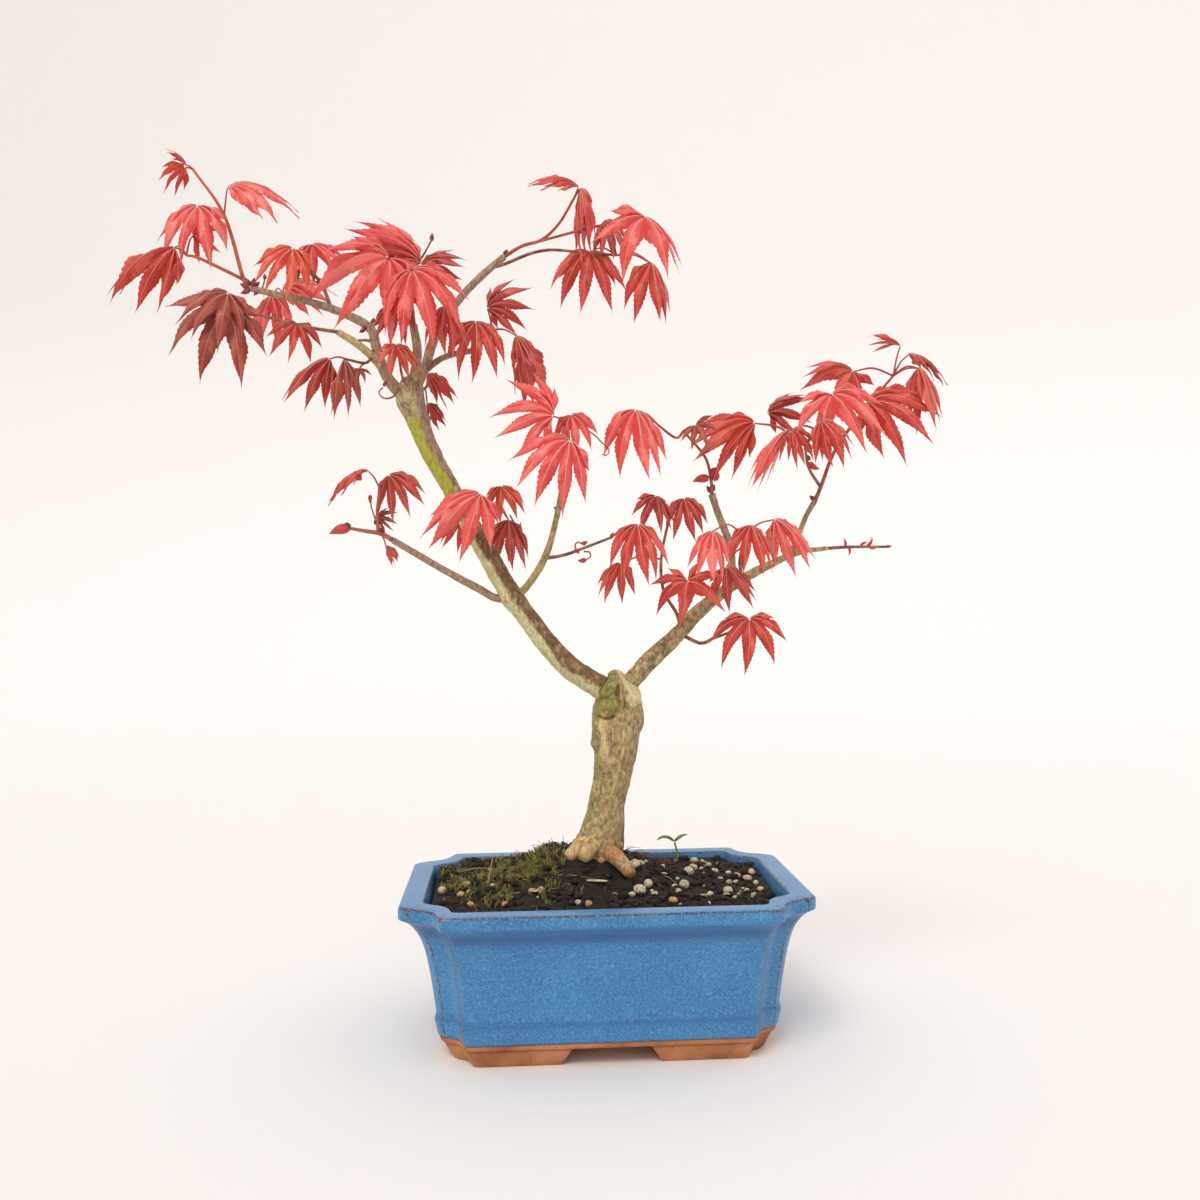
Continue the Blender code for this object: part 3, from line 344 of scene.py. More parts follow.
def potLevels():
    profile = curveThrough([(*level, 0.0) for level in pot["profile"]], 1.2)
    levels = [(z, taper, 0.0, 0.0) for z, taper in profile[:, :2]]
    top, wide, outer, inner = (pot[part] for part in ("height", "rimWidth", "rimRounding", "lipRounding"))
    levels += [(z, 0.0, 0.0, 0.0) for z in pot["neck"]]
    for turn in np.linspace(0, 90, 7):  # the outer edge of the rim
        up, away = math.sin(math.radians(turn)), 1 - math.cos(math.radians(turn))
        levels.append((top - outer + outer * up, 0.0, outer * away, bell(turn, 38, 30)))
    levels += [(top + pot["crown"], 0.0, share * wide, 0.0) for share in (0.25, 0.5, 0.75)]
    for turn in np.linspace(0, 90, 6):  # its inner edge
        up, away = math.cos(math.radians(turn)), math.sin(math.radians(turn))
        levels.append((top - inner + inner * up, 0.0, wide - inner + inner * away, bell(turn, 45, 30)))
    for z in pot["inside"]:  # the wall inside, then the floor
        levels.append((z, pot["bendTaper"] * (top - z) / (top - pot["inside"][-1]), wide, 0.0))
    return levels + [(*pot["floor"], 0.0)]


glazed = newFinish("Blue stoneware glaze", Roughness=0.38, IOR=1.45, Coat_Weight=0.15, Coat_Roughness=0.15)
here = addNode(glazed, "TexCoord", {}, "Object")
speckle = addNode(glazed, "TexNoise", {"Vector": here, "Scale": 1150.0, "Detail": 2.0})  # specks under 1 mm
clouds = addNode(glazed, "TexNoise", {"Vector": here, "Scale": 38.0, "Detail": 3.0})  # pooling over 20 mm
frayed = addNode(glazed, "TexNoise", {"Vector": here, "Scale": 420.0, "Detail": 4.0})  # ragged edges of 2 mm
mottle = addNode(glazed, "ValToRGB", {"Fac": speckle, "stops": [
    (0.34, "#2C5F97"), (0.45, "#3C7CB4"), (0.56, "#478DC2"), (0.7, "#6FAAD4")]})
pooled = addNode(glazed, "ValToRGB", {"Fac": clouds, "stops": [(0.35, "#3774A8"), (0.65, "#4A8FBE")]})
body = addNode(glazed, "Mix", {"data_type": "RGBA", 0: 0.36, 6: mottle, 7: pooled}, 2)
# painted shade in the hollows, and a painted reflection on the rim's top
for field, strength, colour in (("deep", 0.8, "#2D5C92"), ("paleTop", 0.25, "#5585BC")):
    share = addNode(glazed, "Attribute", {"attribute_name": field}, "Fac")
    share = addNode(glazed, "Math", {"operation": "MULTIPLY", 0: share, 1: strength})
    body = addNode(glazed, "Mix", {"data_type": "RGBA", 0: share, 6: body, 7: colour}, 2)
edge = addNode(glazed, "Attribute", {"attribute_name": "broken"}, "Fac")
ragged = addNode(glazed, "Math", {"operation": "MULTIPLY_ADD", 0: frayed, 1: 1.1, 2: edge})
thin = addNode(glazed, "MapRange", {"Value": ragged, "From Min": 1.05, "From Max": 1.55})
bare = addNode(glazed, "ValToRGB", {"Fac": speckle, "stops": [
    (0.36, "#2B2D3A"), (0.52, "#4F4240"), (0.66, "#9A7F6C")]})
coated = addNode(glazed, "Mix", {"data_type": "RGBA", 0: thin, 6: body, 7: bare}, 2)
feed(glazed, speckle, (0.08, 0.4), coated)

clay = newFinish("Unglazed fired clay", Roughness=0.85)
here = addNode(clay, "TexCoord", {}, "Object")
grog = addNode(clay, "TexNoise", {"Vector": here, "Scale": 700.0, "Detail": 4.0})
burnt = addNode(clay, "TexNoise", {"Vector": here, "Scale": 60.0, "Detail": 3.0})
tint = addNode(clay, "ValToRGB", {"Fac": burnt, "stops": [
    (0.3, "#8F5433"), (0.5, "#B5734A"), (0.7, "#C98A5E")]})
pits = addNode(clay, "ValToRGB", {"Fac": grog, "stops": [(0.27, "#7A4A30"), (0.36, "#FFFFFF")]})
worn = addNode(clay, "Mix", {"data_type": "RGBA", "blend_type": "MULTIPLY", 0: 0.8, 6: tint, 7: pits}, 2)
feed(clay, grog, (0.5, 0.4), worn)

lathe(potLevels(), "glazedPot", glazed, "blue_glaze", "pot")
lathe([(z, taper, 0.0, 0.0) for z, taper in pot["base"]], "clayStrip", clay, "bare_clay", "clay_base")

feet = {"top": 8.3, "front": 38.0, "side": 26.0, "thick": 15.0, "chamfer": 8.0, "topTaper": 0.82,
        "rounding": 1.0, "fillet": (4.0, 3.0, 6.0)}


def footSurface(flipX, flipY):
    # The corner's outline carried back inside itself at two heights, with the inner ends longer at the top.
    rings, thick = [], feet["thick"]
    besideTip, besidePanel, deeper = feet["fillet"]
    for z, taper, longer in ((0.0, 1.0, 0.0), (feet["top"], feet["topTaper"], feet["chamfer"])):
        x, y = (values[0] for values in cornerPlan(taper, 0.0))
        endX, endY = x[0] - feet["front"] - longer, y[-1] + feet["side"] + longer
        back = [x[-1], x[-1] - thick, x[-1] - thick - besideTip, x[0] - besidePanel, endX]
        ringX = np.concatenate([[endX], x, back])
        ringY = np.concatenate([[y[0]], y, [endY, endY, y[0] + thick + deeper, y[0] + thick, y[0] + thick]])
        rings.append(np.stack([ringX * flipX, ringY * flipY, np.full(len(ringX), z)], axis=-1))
    sets = ringFaces(2, len(rings[0]))
    return np.vstack(rings), [faces[:, ::-1] for faces in sets] if flipX * flipY < 0 else sets


for name, flipX, flipY in (("foot_front_right", 1, 1), ("foot_front_left", -1, 1),
                           ("foot_back_right", 1, -1), ("foot_back_left", -1, -1)):
    foot = Gathered()
    foot.add(*footSurface(flipX, flipY))
    obj = foot.piece(name.replace("foot_", "clayFoot_"), [clay], potted)
    rounded = obj.modifiers.new("rounded", "BEVEL")
    rounded.width, rounded.segments, rounded.limit_method = feet["rounding"] * mm, 3, "ANGLE"
    dress(obj, "bare_clay", name)
print("pot done")


# Soil: a bed of dark humus with a mossy mound under the trunk, and what lies and grows on it

soil = {
    "level": 67.5, "bottom": 60.0, "rise": 21.0, "top": 83.2, "mound": (-9.0, 10.0, 36.0, 31.0),
    "clearance": 0.7, "taper": 0.05, "rings": 90, "half": (84, 56), "panels": (71, 40), "reach": 70.0,
    "crumbs": ((1.3, 9.0, 3), (0.8, 3.2, 5)), "grit": (0.5, 1.6, 8),  # height, size and seed of the noise
    "cushion": (-34, -2, 22, 26), "cushionRise": 3.0, "moss": (-40, 4, 34, 34), "trunkFoot": (-2, 6, 17, 16),
}


def patchOver(x, y, atX, atY, reachX, reachY):  # bell-shaped both ways
    return bell(x, atX, reachX) * bell(y, atY, reachY)


def crumbled(x, y):
    # The bed's height: a level with a bell-shaped mound cut off flat, then crumbs, grit, a cushion of moss at
    # the left and a rise behind.
    flat = np.stack([x, y, np.zeros_like(x)], axis=-1)
    mound = np.minimum(soil["top"], soil["level"] + soil["rise"] * patchOver(x, y, *soil["mound"]))
    crumbs = sum(high * layered(flat, size, own) for high, size, own in soil["crumbs"])
    high, size, own = soil["grit"]
    crumbs = crumbs + high * np.abs(wander(flat, size, own))
    mossy = soil["cushionRise"] * patchOver(x, y, *soil["cushion"]) * (0.5 + 0.5 * layered(flat, 12.0, 11))
    behind = (3.0 + 2.5 * smoothStep(-10, -50, x)) * smoothStep(-45, 40, y)
    return mound + crumbs + mossy + behind


humus = newFinish("Damp humus", Roughness=0.9)
here = addNode(humus, "TexCoord", {}, "Object")
crumb = addNode(humus, "TexNoise", {"Vector": here, "Scale": 420.0, "Detail": 6.0, "Roughness": 0.7})
patch = addNode(humus, "TexNoise", {"Vector": here, "Scale": 55.0, "Detail": 4.0})
earth = addNode(humus, "ValToRGB", {"Fac": crumb, "stops": [
    (0.3, "#0F0B09"), (0.52, "#241B16"), (0.66, "#3D2C20"), (0.8, "#6B4A30")]})
green = addNode(humus, "ValToRGB", {"Fac": crumb, "stops": [
    (0.35, "#2F3212"), (0.55, "#5A5A20"), (0.75, "#8B8432")]})
mossy = addNode(humus, "Attribute", {"attribute_name": "mossy"}, "Fac")
mossy = addNode(humus, "Math", {"operation": "MULTIPLY", 0: mossy, 1: patch})
mossy = addNode(humus, "ValToRGB", {"Fac": mossy, "stops": [(0.25, "#000000"), (0.5, "#FFFFFF")]})
cover = addNode(humus, "Mix", {"data_type": "RGBA", 0: mossy, 6: earth, 7: green}, 2)
feed(humus, crumb, (0.9, 1.2), cover)

rim = planRings([0.0], [soil["taper"]], [pot["rimWidth"] + soil["clearance"]])[0][:, :2]
scales = np.append(np.linspace(1.0, 0.02, soil["rings"]), 0.001)
bedX, bedY = scales[:, None] * rim[None, :, 0], scales[:, None] * rim[None, :, 1]
bedZ = np.where(scales[:, None] == 1.0, soil["level"], crumbled(bedX, bedY))
bottom = np.dstack([bedX[:1], bedY[:1], np.full_like(bedX[:1], soil["bottom"])])
bed = np.vstack([bottom, np.dstack([bedX, bedY, bedZ])])
mossy = patchOver(bed[..., 0], bed[..., 1], *soil["moss"]).ravel()
soilBed = Gathered()
soilBed.add(bed.reshape(-1, 3), ringFaces(*bed.shape[:2]), fields={"mossy": mossy})
dress(soilBed.piece("humusBed", [humus], potted), "potting_soil", "soil")


def onBed(places):
    # Where the sight lines through these places of the elevation meet the bed, in the pot's own space.
    places = np.atleast_2d(np.asarray(places, float))
    near, far = np.full(len(places), -soil["reach"]), np.full(len(places), soil["reach"])
    for _ in range(24):
        depth = (near + far) / 2
        points = planted(slid(np.column_stack([places, depth]))) - [potAxis[0], potAxis[1], 0.0]
        above = points[:, 2] > crumbled(points[:, 0], points[:, 1])
        near, far = np.where(above, depth, near), np.where(above, far, depth)
    return points


draw, dice = random.Random(seed), np.random.default_rng(seed)


def strewn(count, likely, margin=3.0):
    # Places on the bed, away from the wall and the trunk's foot, kept where a likelihood of x and y from 0
    # to 1 beats a random number.
    (halfX, halfY), (panelX, panelY) = soil["half"], soil["panels"]
    atX, atY, reachX, reachY = soil["trunkFoot"]
    x, y, chance = dice.uniform((-halfX, -halfY, 0), (halfX, halfY, 1), (count * 40, 3)).T
    free = np.hypot((x - atX) / reachX, (y - atY) / reachY) > 1
    inside = (np.abs(x) < panelX - margin) | (np.abs(y) < panelY - margin)
    kept = free & inside & (chance < likely(x, y))
    x, y = x[kept][:count], y[kept][:count]
    return np.column_stack([x, y, crumbled(x, y)])


def lumpSurface(centre, halves, rings, sides, rough=0.14, yaw=None):
    # A rounded lump: rings between two poles, pushed in and out by noise, turned about the vertical.
    rise = ((np.arange(1, rings + 1) / (rings + 1) - 0.5) * math.pi)[:, None, None]
    up = np.broadcast_to(np.sin(rise), (rings, sides, 1))
    ball = np.concatenate([np.cos(rise) * circle(sides), up], axis=-1).reshape(-1, 3)
    ball = np.vstack([[0, 0, -1], ball, [0, 0, 1]])
    ball = ball * (1 + rough * wander(ball + draw.uniform(0, 90), 0.8))[:, None] * halves
    yaw = draw.uniform(0, math.tau) if yaw is None else yaw
    points = np.column_stack([ball[:, 0] * math.cos(yaw) - ball[:, 1] * math.sin(yaw),
                              ball[:, 0] * math.sin(yaw) + ball[:, 1] * math.cos(yaw), ball[:, 2]])
    low = 1 + np.arange(sides)
    high = low + (rings - 1) * sides
    ends = np.vstack([np.column_stack([np.zeros(sides, int), np.roll(low, -1), low]),
                      np.column_stack([np.full(sides, len(ball) - 1), high, np.roll(high, -1)])])
    return centre + points, [gridFaces(rings, sides, start=1), ends]


crumbs = Gathered()
for place in strewn(620, lambda x, y: 1.0, 1.0):
    half = draw.uniform(0.9, 2.6)
    halves = (half * draw.uniform(0.9, 1.5), half, half * draw.uniform(0.5, 0.9))
    crumbs.add(*lumpSurface(place + [0, 0, 0.25 * half], halves, 3, 6, 0.4), fields={"mossy": 0.0})
dress(crumbs.piece("humusCrumbs", [humus], potted, smooth=False), "potting_soil")

pumice = grainy(newFinish("Pumice and perlite grains", Roughness=0.85), 900.0, 3.0,
                [(0.32, "#8E8468"), (0.5, "#CFC6A6"), (0.7, "#E8E2CB")],
                [("warm", (0.32, "#9A6434"), (0.5, "#CD9458"), (0.7, "#E2B47C"))], (0.6, 0.4))

grains = [  # x, z, half its length and how orange it is
    (18, 74.5, 3.4, 0.1), (48.5, 77, 2.4, 0.1), (48, 73.5, 2.6, 0.2), (45.5, 71, 3.3, 0), (56, 75, 1.8, 0),
    (59, 71.7, 2.2, 0.1), (62, 74, 1.5, 0), (65.6, 71, 1.5, 0), (70.2, 69, 2.4, 0), (78, 71, 2.5, 0.3),
    (75.8, 67.9, 2.6, 0.3), (80.3, 65.6, 1.9, 0), (82.6, 62.2, 2.3, 0.4), (62, 67.8, 1.6, 0),
    (66, 61.3, 2.8, 0.1), (56.8, 59.8, 2.2, 0), (43.2, 64.2, 3.2, 0.1), (40.3, 61.4, 1.8, 0.3),
    (24.6, 64.7, 3.0, 0), (20.5, 61.4, 3.6, 0), (16.5, 59.8, 1.8, 0), (28, 59.9, 2.0, 0),
    (7.6, 58.8, 2.2, 0.9), (37.7, 56.4, 2.4, 0.8), (56, 55, 1.6, 0), (-11.4, 55.6, 1.9, 0.2),
    (-6, 54.8, 2.1, 0.9), (-30.5, 61.6, 2.4, 0.6), (-35, 61.5, 2.0, 0.4), (-66.6, 54.4, 2.2, 0.8),
    (-49.2, 54.4, 2.0, 0.8), (-68.7, 64.6, 2.6, 0.2), (-67.5, 61, 1.7, 0.1), (-71.8, 59.6, 2.0, 0.5),
    (-81.3, 61.2, 3.0, 0.3), (69.5, 58, 1.7, 0.6)]
stones = Gathered()
for place, (_, _, half, orange) in zip(onBed([grain[:2] for grain in grains]), grains):
    halves = (half, half * draw.uniform(0.7, 0.85), half * draw.uniform(0.6, 0.8))
    stones.add(*lumpSurface(place + [0, 0, 0.4 * half], halves, 5, 9, 0.16), fields={"warm": orange})
for place in strewn(70, lambda x, y: 0.12 + 0.8 * smoothStep(0, 60, x), 4.0):
    half = draw.uniform(0.7, 1.7)
    stones.add(*lumpSurface(place + [0, 0, 0.3 * half], (half, half * 0.85, half * 0.75), 3, 7),
               fields={"warm": draw.choice((0.0, 0.1, 0.2, 0.5))})
chips = [  # x, z, half length, width and thickness, turn in the plan, how orange
    (-1.5, 66.2, (6.8, 1.7, 0.6), -0.25, 0.1), (52.5, 58.8, (4.6, 1.2, 0.5), 0.1, 0.5),
    (66, 59.5, (3.4, 1.4, 0.5), 0.3, 0.6), (-33, 61, (2.6, 1.8, 0.5), 1.2, 0.5),
    (33, 70, (2.0, 1.1, 0.5), -0.9, 0.0)]
for place, (_, _, halves, yaw, orange) in zip(onBed([chip[:2] for chip in chips]), chips):
    stones.add(*lumpSurface(place + [0, 0, 1.3], halves, 3, 10, 0.2, yaw), fields={"warm": orange})
dress(stones.piece("pumiceGrains", [pumice], potted), "potting_soil")

moss = grainy(newFinish("Moss and dry stems", Roughness=0.8), 300.0, 3.0,
              [(0.35, "#39421A"), (0.5, "#6A6E2A"), (0.65, "#A3A048")],
              [("straw", (0, "#9C7848"), (1, "#D8BE8C")), ("peat", (0, "#47291A"), (1, "#8C5C3A"))])
growth = Gathered()


def addStem(points, wide, straw=0.0, peat=0.0, sides=4):  # a stem that thins to its tip
    path = curveThrough(points, max(0.8, np.linalg.norm(points[-1] - points[0]) / 6))
    growth.add(*tubeSurface(path, wide / 2 * np.linspace(1, 0.35, len(path)), sides),
               fields={"straw": straw, "peat": peat})


def mossLikely(x, y):
    clumps = layered(np.stack([x, y, 0 * x], axis=-1), 11.0, 61)
    return (0.3 + 1.6 * clumps) * patchOver(x, y, -44, 6, 27, 32)


for place in strewn(420, mossLikely):  # moss tufts
    for _ in range(5):
        lean = np.array([draw.uniform(-1, 1), draw.uniform(-1, 1), 0.0])
        tall = draw.uniform(1.5, 3.6)
        top = place + lean * tall * 0.6 + [0, 0, tall]
        path = [place - [0, 0, 0.6], (place + top) / 2 + [0, 0, 0.3], top]
        addStem(path, draw.uniform(0.5, 0.9), straw=draw.choice((0.0, 0.0, 0.1, 0.35)), sides=3)
for count, wide, straw, peat, likely in (
        (120, 0.55, 0.9, 0.25, mossLikely), (60, 0.45, 0.1, 0.9, lambda x, y: 0.3),
        (150, 0.5, 0.2, 1.0, lambda x, y: patchOver(x, y, 27, 30, 11, 10))):
    for place in strewn(count, likely):  # dry stems and fibres that lie about
        way, long = draw.uniform(0, math.tau), draw.uniform(4, 12)
        ahead = np.array([math.cos(way), math.sin(way), draw.uniform(-0.05, 0.25)]) * long
        bowed = place + ahead / 2 + [draw.uniform(-1, 1), draw.uniform(-1, 1), draw.uniform(0.6, 1.8)]
        addStem([place, bowed, place + ahead + [0, 0, 0.4]], wide, straw * draw.uniform(0.7, 1), peat)
stems = [  # each from one place of the elevation to another, its rise at the far end, width, straw, peat
    ((-57.8, 64.5), (-54.5, 67.0), 15.0, 1.1, 1.0, 0.1), ((-72.0, 72.0), (-56.8, 72.5), 1.5, 1.0, 0.9, 0.1),
    ((-27.5, 78.0), (-26.0, 79.5), 8.0, 0.9, 0.1, 0.3), ((-22.0, 79.0), (-25.0, 80.5), 9.0, 0.8, 0.2, 0.3),
    ((-20.0, 79.0), (-16.5, 80.5), 7.5, 0.9, 0.1, 0.2), ((-18.0, 80.0), (-19.0, 81.0), 9.5, 0.7, 0.0, 0.3),
    ((-14.0, 80.0), (-11.0, 81.0), 5.5, 0.8, 0.1, 0.1), ((-25.0, 66.0), (-29.0, 60.0), 2.0, 0.7, 0.9, 0.3),
    ((33.0, 70.0), (39.8, 64.5), 1.0, 0.6, 0.8, 0.0), ((-22.0, 70.5), (-2.0, 66.5), 1.5, 0.7, 0.3, 0.1)]
for first, last, rise, wide, straw, peat in stems:
    start, end = onBed([first, last])
    end = end + [0, 0, rise]
    addStem([start, (start + end) / 2 + [0, 0, 0.8], end], wide, straw, peat, 5)
dress(growth.piece("mossAndStems", [moss], potted), "potting_soil")

fresh = grainy(newFinish("Seedling green", Roughness=0.5), 500.0, 2.0, [(0.3, "#4C7F24"), (0.7, "#86B750")])
seedling = Gathered()
root = onBed([(40.0, 77.0)])[0]
crown = root + [-1.6, 0, 11.0]
path = curveThrough([root - [0, 0, 1], (root + crown) / 2 + [0.5, 0, 0], crown], 1.5)
seedling.add(*tubeSurface(path, np.full(len(path), 0.55), 7))
for blade in ([(0, 0, 0), (-3.5, 0, 3.2), (-7.0, -0.5, 3.6), (-10.0, -1, 1.6)],
              [(0, 0, 0), (2.2, 0, 2.6), (4.8, 0, 4.4), (7.2, 0, 4.6)]):  # its two leaves, flattened tubes
    path = curveThrough(blade, 0.8)
    points, faces = tubeSurface(path, np.sin(np.pi * np.linspace(0.14, 0.96, len(path))) + 0.12, 8)
    middle = points.mean(axis=0)
    seedling.add(crown + (points - middle) * [1, 1, 0.75] + middle, faces)
dress(seedling.piece("seedling", [fresh], potted), "potting_soil")
print("soil done")


# Trunk, boughs and branches under their bark

trunkDepth = 8.0
trunkLine = [  # x, z, diameter
    (-2.5, 74, 33), (-2.0, 80, 30), (-0.5, 85, 25.5), (1.0, 90, 23.2), (2.5, 100, 20.5), (3.6, 109, 18.6),
    (5.9, 119, 19.4), (7.0, 127, 20.7), (8.2, 136, 22.9), (8.3, 145, 25.0), (9.0, 153.6, 26.2),
    (9.4, 162, 23.4), (8.5, 168, 19.5), (7.7, 173, 11.0)]
roots = [  # from and to in x, z, depth, then both diameters, and how red the bark is
    ((3.0, 83.0, 0.0), (15.5, 71.5, -19.0), 8.5, 5.6, 1.0),
    ((-4.0, 87.0, 3.0), (-15.5, 80.0, -4.0), 10.0, 7.0, 0.0),
    ((-2.0, 87.5, -1.0), (-8.0, 79.5, -10.0), 9.0, 7.0, 0.0),
    ((0.0, 81.0, 12.0), (10.0, 76.5, 24.0), 10.0, 6.0, 0.0)]
limbs = {  # x, z, depth and diameter along each one
    "bough_left": [(3.5, 165, 6, 12.5), (-19.6, 181, 4, 11.5), (-43.4, 211.5, 0, 10.3),
        (-56.8, 233.7, -3, 10.2), (-73.9, 264.2, -7, 9.2), (-87.8, 289.5, -10, 9.6),
        (-95.8, 310.5, -12, 12.2), (-97.6, 318, -12, 13.2), (-98, 324.5, -12, 9.5)],
    "bough_right": [(10, 163.5, 6, 10), (25.8, 181, 8, 9.4), (41.3, 195.5, 11, 8.2), (51.6, 207, 13, 7),
        (72.3, 222, 16, 5.4), (90.4, 231.6, 18, 4), (103.3, 236.8, 19, 3), (117, 238.6, 20, 2.3)],
    "branch_upper_left": [(-98, 314, -12, 7.2), (-104, 320, -12, 6.6), (-108.5, 325, -12, 5.8),
        (-112, 332, -11, 5.2), (-115.4, 342.9, -10, 5), (-118.5, 352, -8, 4.8), (-131.7, 359.5, -4, 4.2),
        (-151, 366, 1, 3.8), (-168, 369.6, 5, 3.4), (-180, 372.6, 8, 3.4)],
    "branch_left_low": [(-111.5, 331, -11, 4.4), (-118, 338, -13, 4.2), (-126, 344.5, -14, 3.8),
        (-135, 350, -14, 3.2)],
    "branch_top": [(-97.5, 320, -14, 5), (-94.5, 334, -17, 4.6), (-94.2, 342, -19, 4.4),
        (-96.2, 354, -22, 3.8)],
    "branch_upper_right": [(-95, 321, -10, 5.6), (-90.3, 330.7, -7, 5.2), (-86.5, 343.7, -3, 4.8),
        (-81.6, 354, 0, 4.4), (-71.8, 367.6, 4, 4), (-60.8, 379, 7, 3.8), (-49.5, 388.6, 9, 3.6)],
    "branch_inner_right": [(-89.8, 330.5, -7, 3.6), (-82.6, 335.8, -12, 3.2), (-75.5, 338.6, -15, 3),
        (-66, 340.3, -17, 2.6)],
    "branch_low_left": [(-44, 212.5, 0, 4.8), (-54, 213.2, -1, 4.2), (-62.5, 217.8, -3, 4),
        (-77.8, 226, -6, 3.6), (-95, 236, -9, 3.4), (-106.5, 242.7, -11, 3.2)],
    "branch_centre": [(-43.5, 213, 0, 4.4), (-36.5, 220.5, -5, 3.9), (-29.8, 231, -9, 3.6),
        (-25.8, 241, -14, 3.2), (-21.8, 257, -20, 2.9), (-19.2, 272, -25, 2.6)],
    "branch_far_right": [(98, 234.3, 19, 3), (101.8, 244, 21, 2.8), (106, 255, 23, 2.6),
        (110.6, 263, 24, 2.7)],
    "branch_right_up": [(68.5, 219.5, 15, 4.2), (67.4, 238, 16, 3.9), (64.6, 247, 16, 3.8),
        (61, 256, 15, 3.7), (57.6, 266.5, 13, 3.9)],
}
barkRelief = {"step": 0.8, "ridge": 0.4, "plate": 0.35, "fine": 0.2, "stretch": 0.3, "fullAt": 4.0}


def placedLine(stations):  # stations of x, z, depth, diameter in the tree's own space
    stations = np.asarray(stations, float)
    return np.hstack([slid(stations[:, :3]), stations[:, 3:]])


def barkSurface(stations, sides, step, relief=1.0, roundEnd=False, marks=()):
    # A tube along the stations, swollen and grooved by noise that is drawn out along the limb. A mark is a
    # bell-shaped lump or pit: its turn from the front in degrees, its height, its reach around and along,
    # and how far it stands out. Returns the points, the faces, each point's place on the limb (across and
    # along), its share of the length, its turn from the front in degrees, and the marks' own relief.
    line = curveThrough(placedLine(stations), step)
    path, radii = line[:, :3], line[:, 3] / 2
    if roundEnd:
        ahead = unit(path[-1] - path[-2])
        turns = np.radians([30, 55, 75, 88])
        path = np.vstack([path, path[-1] + ahead * (np.sin(turns) * radii[-1] * 0.6)[:, None]])
        radii = np.append(radii, radii[-1] * np.cos(turns))
    ahead, across = spokes(path, sides)
    along = np.concatenate([[0], np.cumsum(np.linalg.norm(np.diff(path, axis=0), axis=1))])
    rightward = unit(np.cross(ahead, (0.0, -1.0, 0.0)))
    turn = np.arctan2((across * rightward[:, None]).sum(-1), -across[..., 1])
    own = np.concatenate([circle(sides) * radii[:, None, None],
                          np.broadcast_to(along[:, None, None], (len(path), sides, 1))], axis=-1)
    ridges = 1 - np.abs(layered(own * [1, 1, barkRelief["stretch"]], 3.6, 2))
    bumps = barkRelief["ridge"] * (ridges - 0.8) + barkRelief["plate"] * layered(own, 5.5, 4)
    bumps = bumps + barkRelief["fine"] * layered(own, 1.5, 6)
    bumps = relief * bumps * np.minimum(1.0, radii / barkRelief["fullAt"])[:, None]
    lumps = np.zeros_like(bumps)
    for markTurn, height, reach, tall, rise in marks:
        away = (turn - math.radians(markTurn) + math.pi) % (2 * math.pi) - math.pi
        above = (path[:, 2] + sightLine["eyeInDrawing"] - height)[:, None]
        lumps = lumps + rise * bell(away * radii[:, None], 0, reach) * bell(above, 0, tall)
    points, faces = tubeSurface(path, radii, sides, bumps + lumps)
    return (points, faces, own.reshape(-1, 3), np.repeat(along / along[-1], sides), np.degrees(turn.ravel()),
            lumps.ravel())


bark = newFinish("Maple bark", Roughness=0.75)
here = addNode(bark, "TexCoord", {}, "Object")
drawnOut = addNode(bark, "Mapping", {"Vector": here, "Scale": (1.0, 1.0, 0.45)})  # its grain runs upwards
grain = addNode(bark, "TexNoise", {"Vector": drawnOut, "Scale": 600.0, "Detail": 6.0, "Roughness": 0.72})
blotch = addNode(bark, "TexNoise", {"Vector": here, "Scale": 150.0, "Detail": 5.0, "Roughness": 0.6})
coat = addNode(bark, "ValToRGB", {"Fac": grain, "stops": [
    (0.3, "#604A2C"), (0.44, "#A0845A"), (0.56, "#C2A87C"), (0.7, "#E6D4AC")]})
for field, dull, bright in (
        ("green", "#5A5524", "#B0A85E"), ("pale", "#BC9650", "#F3DFA2"), ("dark", "#432C1C", "#A07650"),
        ("rosy", "#8A4826", "#DCA268"), ("grey", "#A89B5A", "#F6EDC2"), ("moss", "#43450F", "#ACAB55"),
        ("plum", "#6B5140", "#CBAC94"), ("lime", "#94942A", "#D2CE58")):
    # a coat shows where its strength beats the blotches
    strength = addNode(bark, "Attribute", {"attribute_name": field}, "Fac")
    share = addNode(bark, "Math", {"operation": "ADD", 0: blotch, 1: strength})
    mask = addNode(bark, "MapRange", {"Value": share, "From Min": 0.86, "From Max": 1.08})
    shade = addNode(bark, "ValToRGB", {"Fac": grain, "stops": [(0.3, dull), (0.7, bright)]})
    coat = addNode(bark, "Mix", {"data_type": "RGBA", 0: mask, 6: coat, 7: shade}, 2)
feed(bark, grain, (0.7, 0.6), coat)


def barkPiece(name, slot, nodes, surfaces):
    gathered = Gathered()
    for points, faces, fields in surfaces:
        gathered.add(points, faces, fields=fields)
    dress(gathered.piece(name, [bark], planted), slot, *nodes)


trunkMarks = [  # the callus under the fork, the side knob, and the swellings at the foot
    (-36, 166.5, 5.0, 3.4, 2.2), (-30, 157.0, 5.6, 4.2, 3.0), (40, 161.5, 4.6, 6.0, 2.6),
    (-8, 171.5, 3.0, 3.0, 1.6), (-75, 172.5, 4.5, 3.0, -2.2), (75, 172.0, 4.5, 3.0, -2.2),
    (62, 152.5, 3.0, 3.0, 0.9), (-88, 136.6, 3.0, 4.5, 1.6), (-80, 131.0, 2.0, 1.6, -0.9),
    (85, 150.0, 5.0, 6.0, 0.8), (20, 84.0, 3.4, 3.0, 1.8), (48, 85.5, 3.0, 3.0, 1.6),
    (35, 80.0, 3.0, 3.0, 1.5), (2, 88.0, 2.4, 3.0, 1.2), (-70, 88.0, 5.0, 7.0, 1.2)]
draw = random.Random(seed)
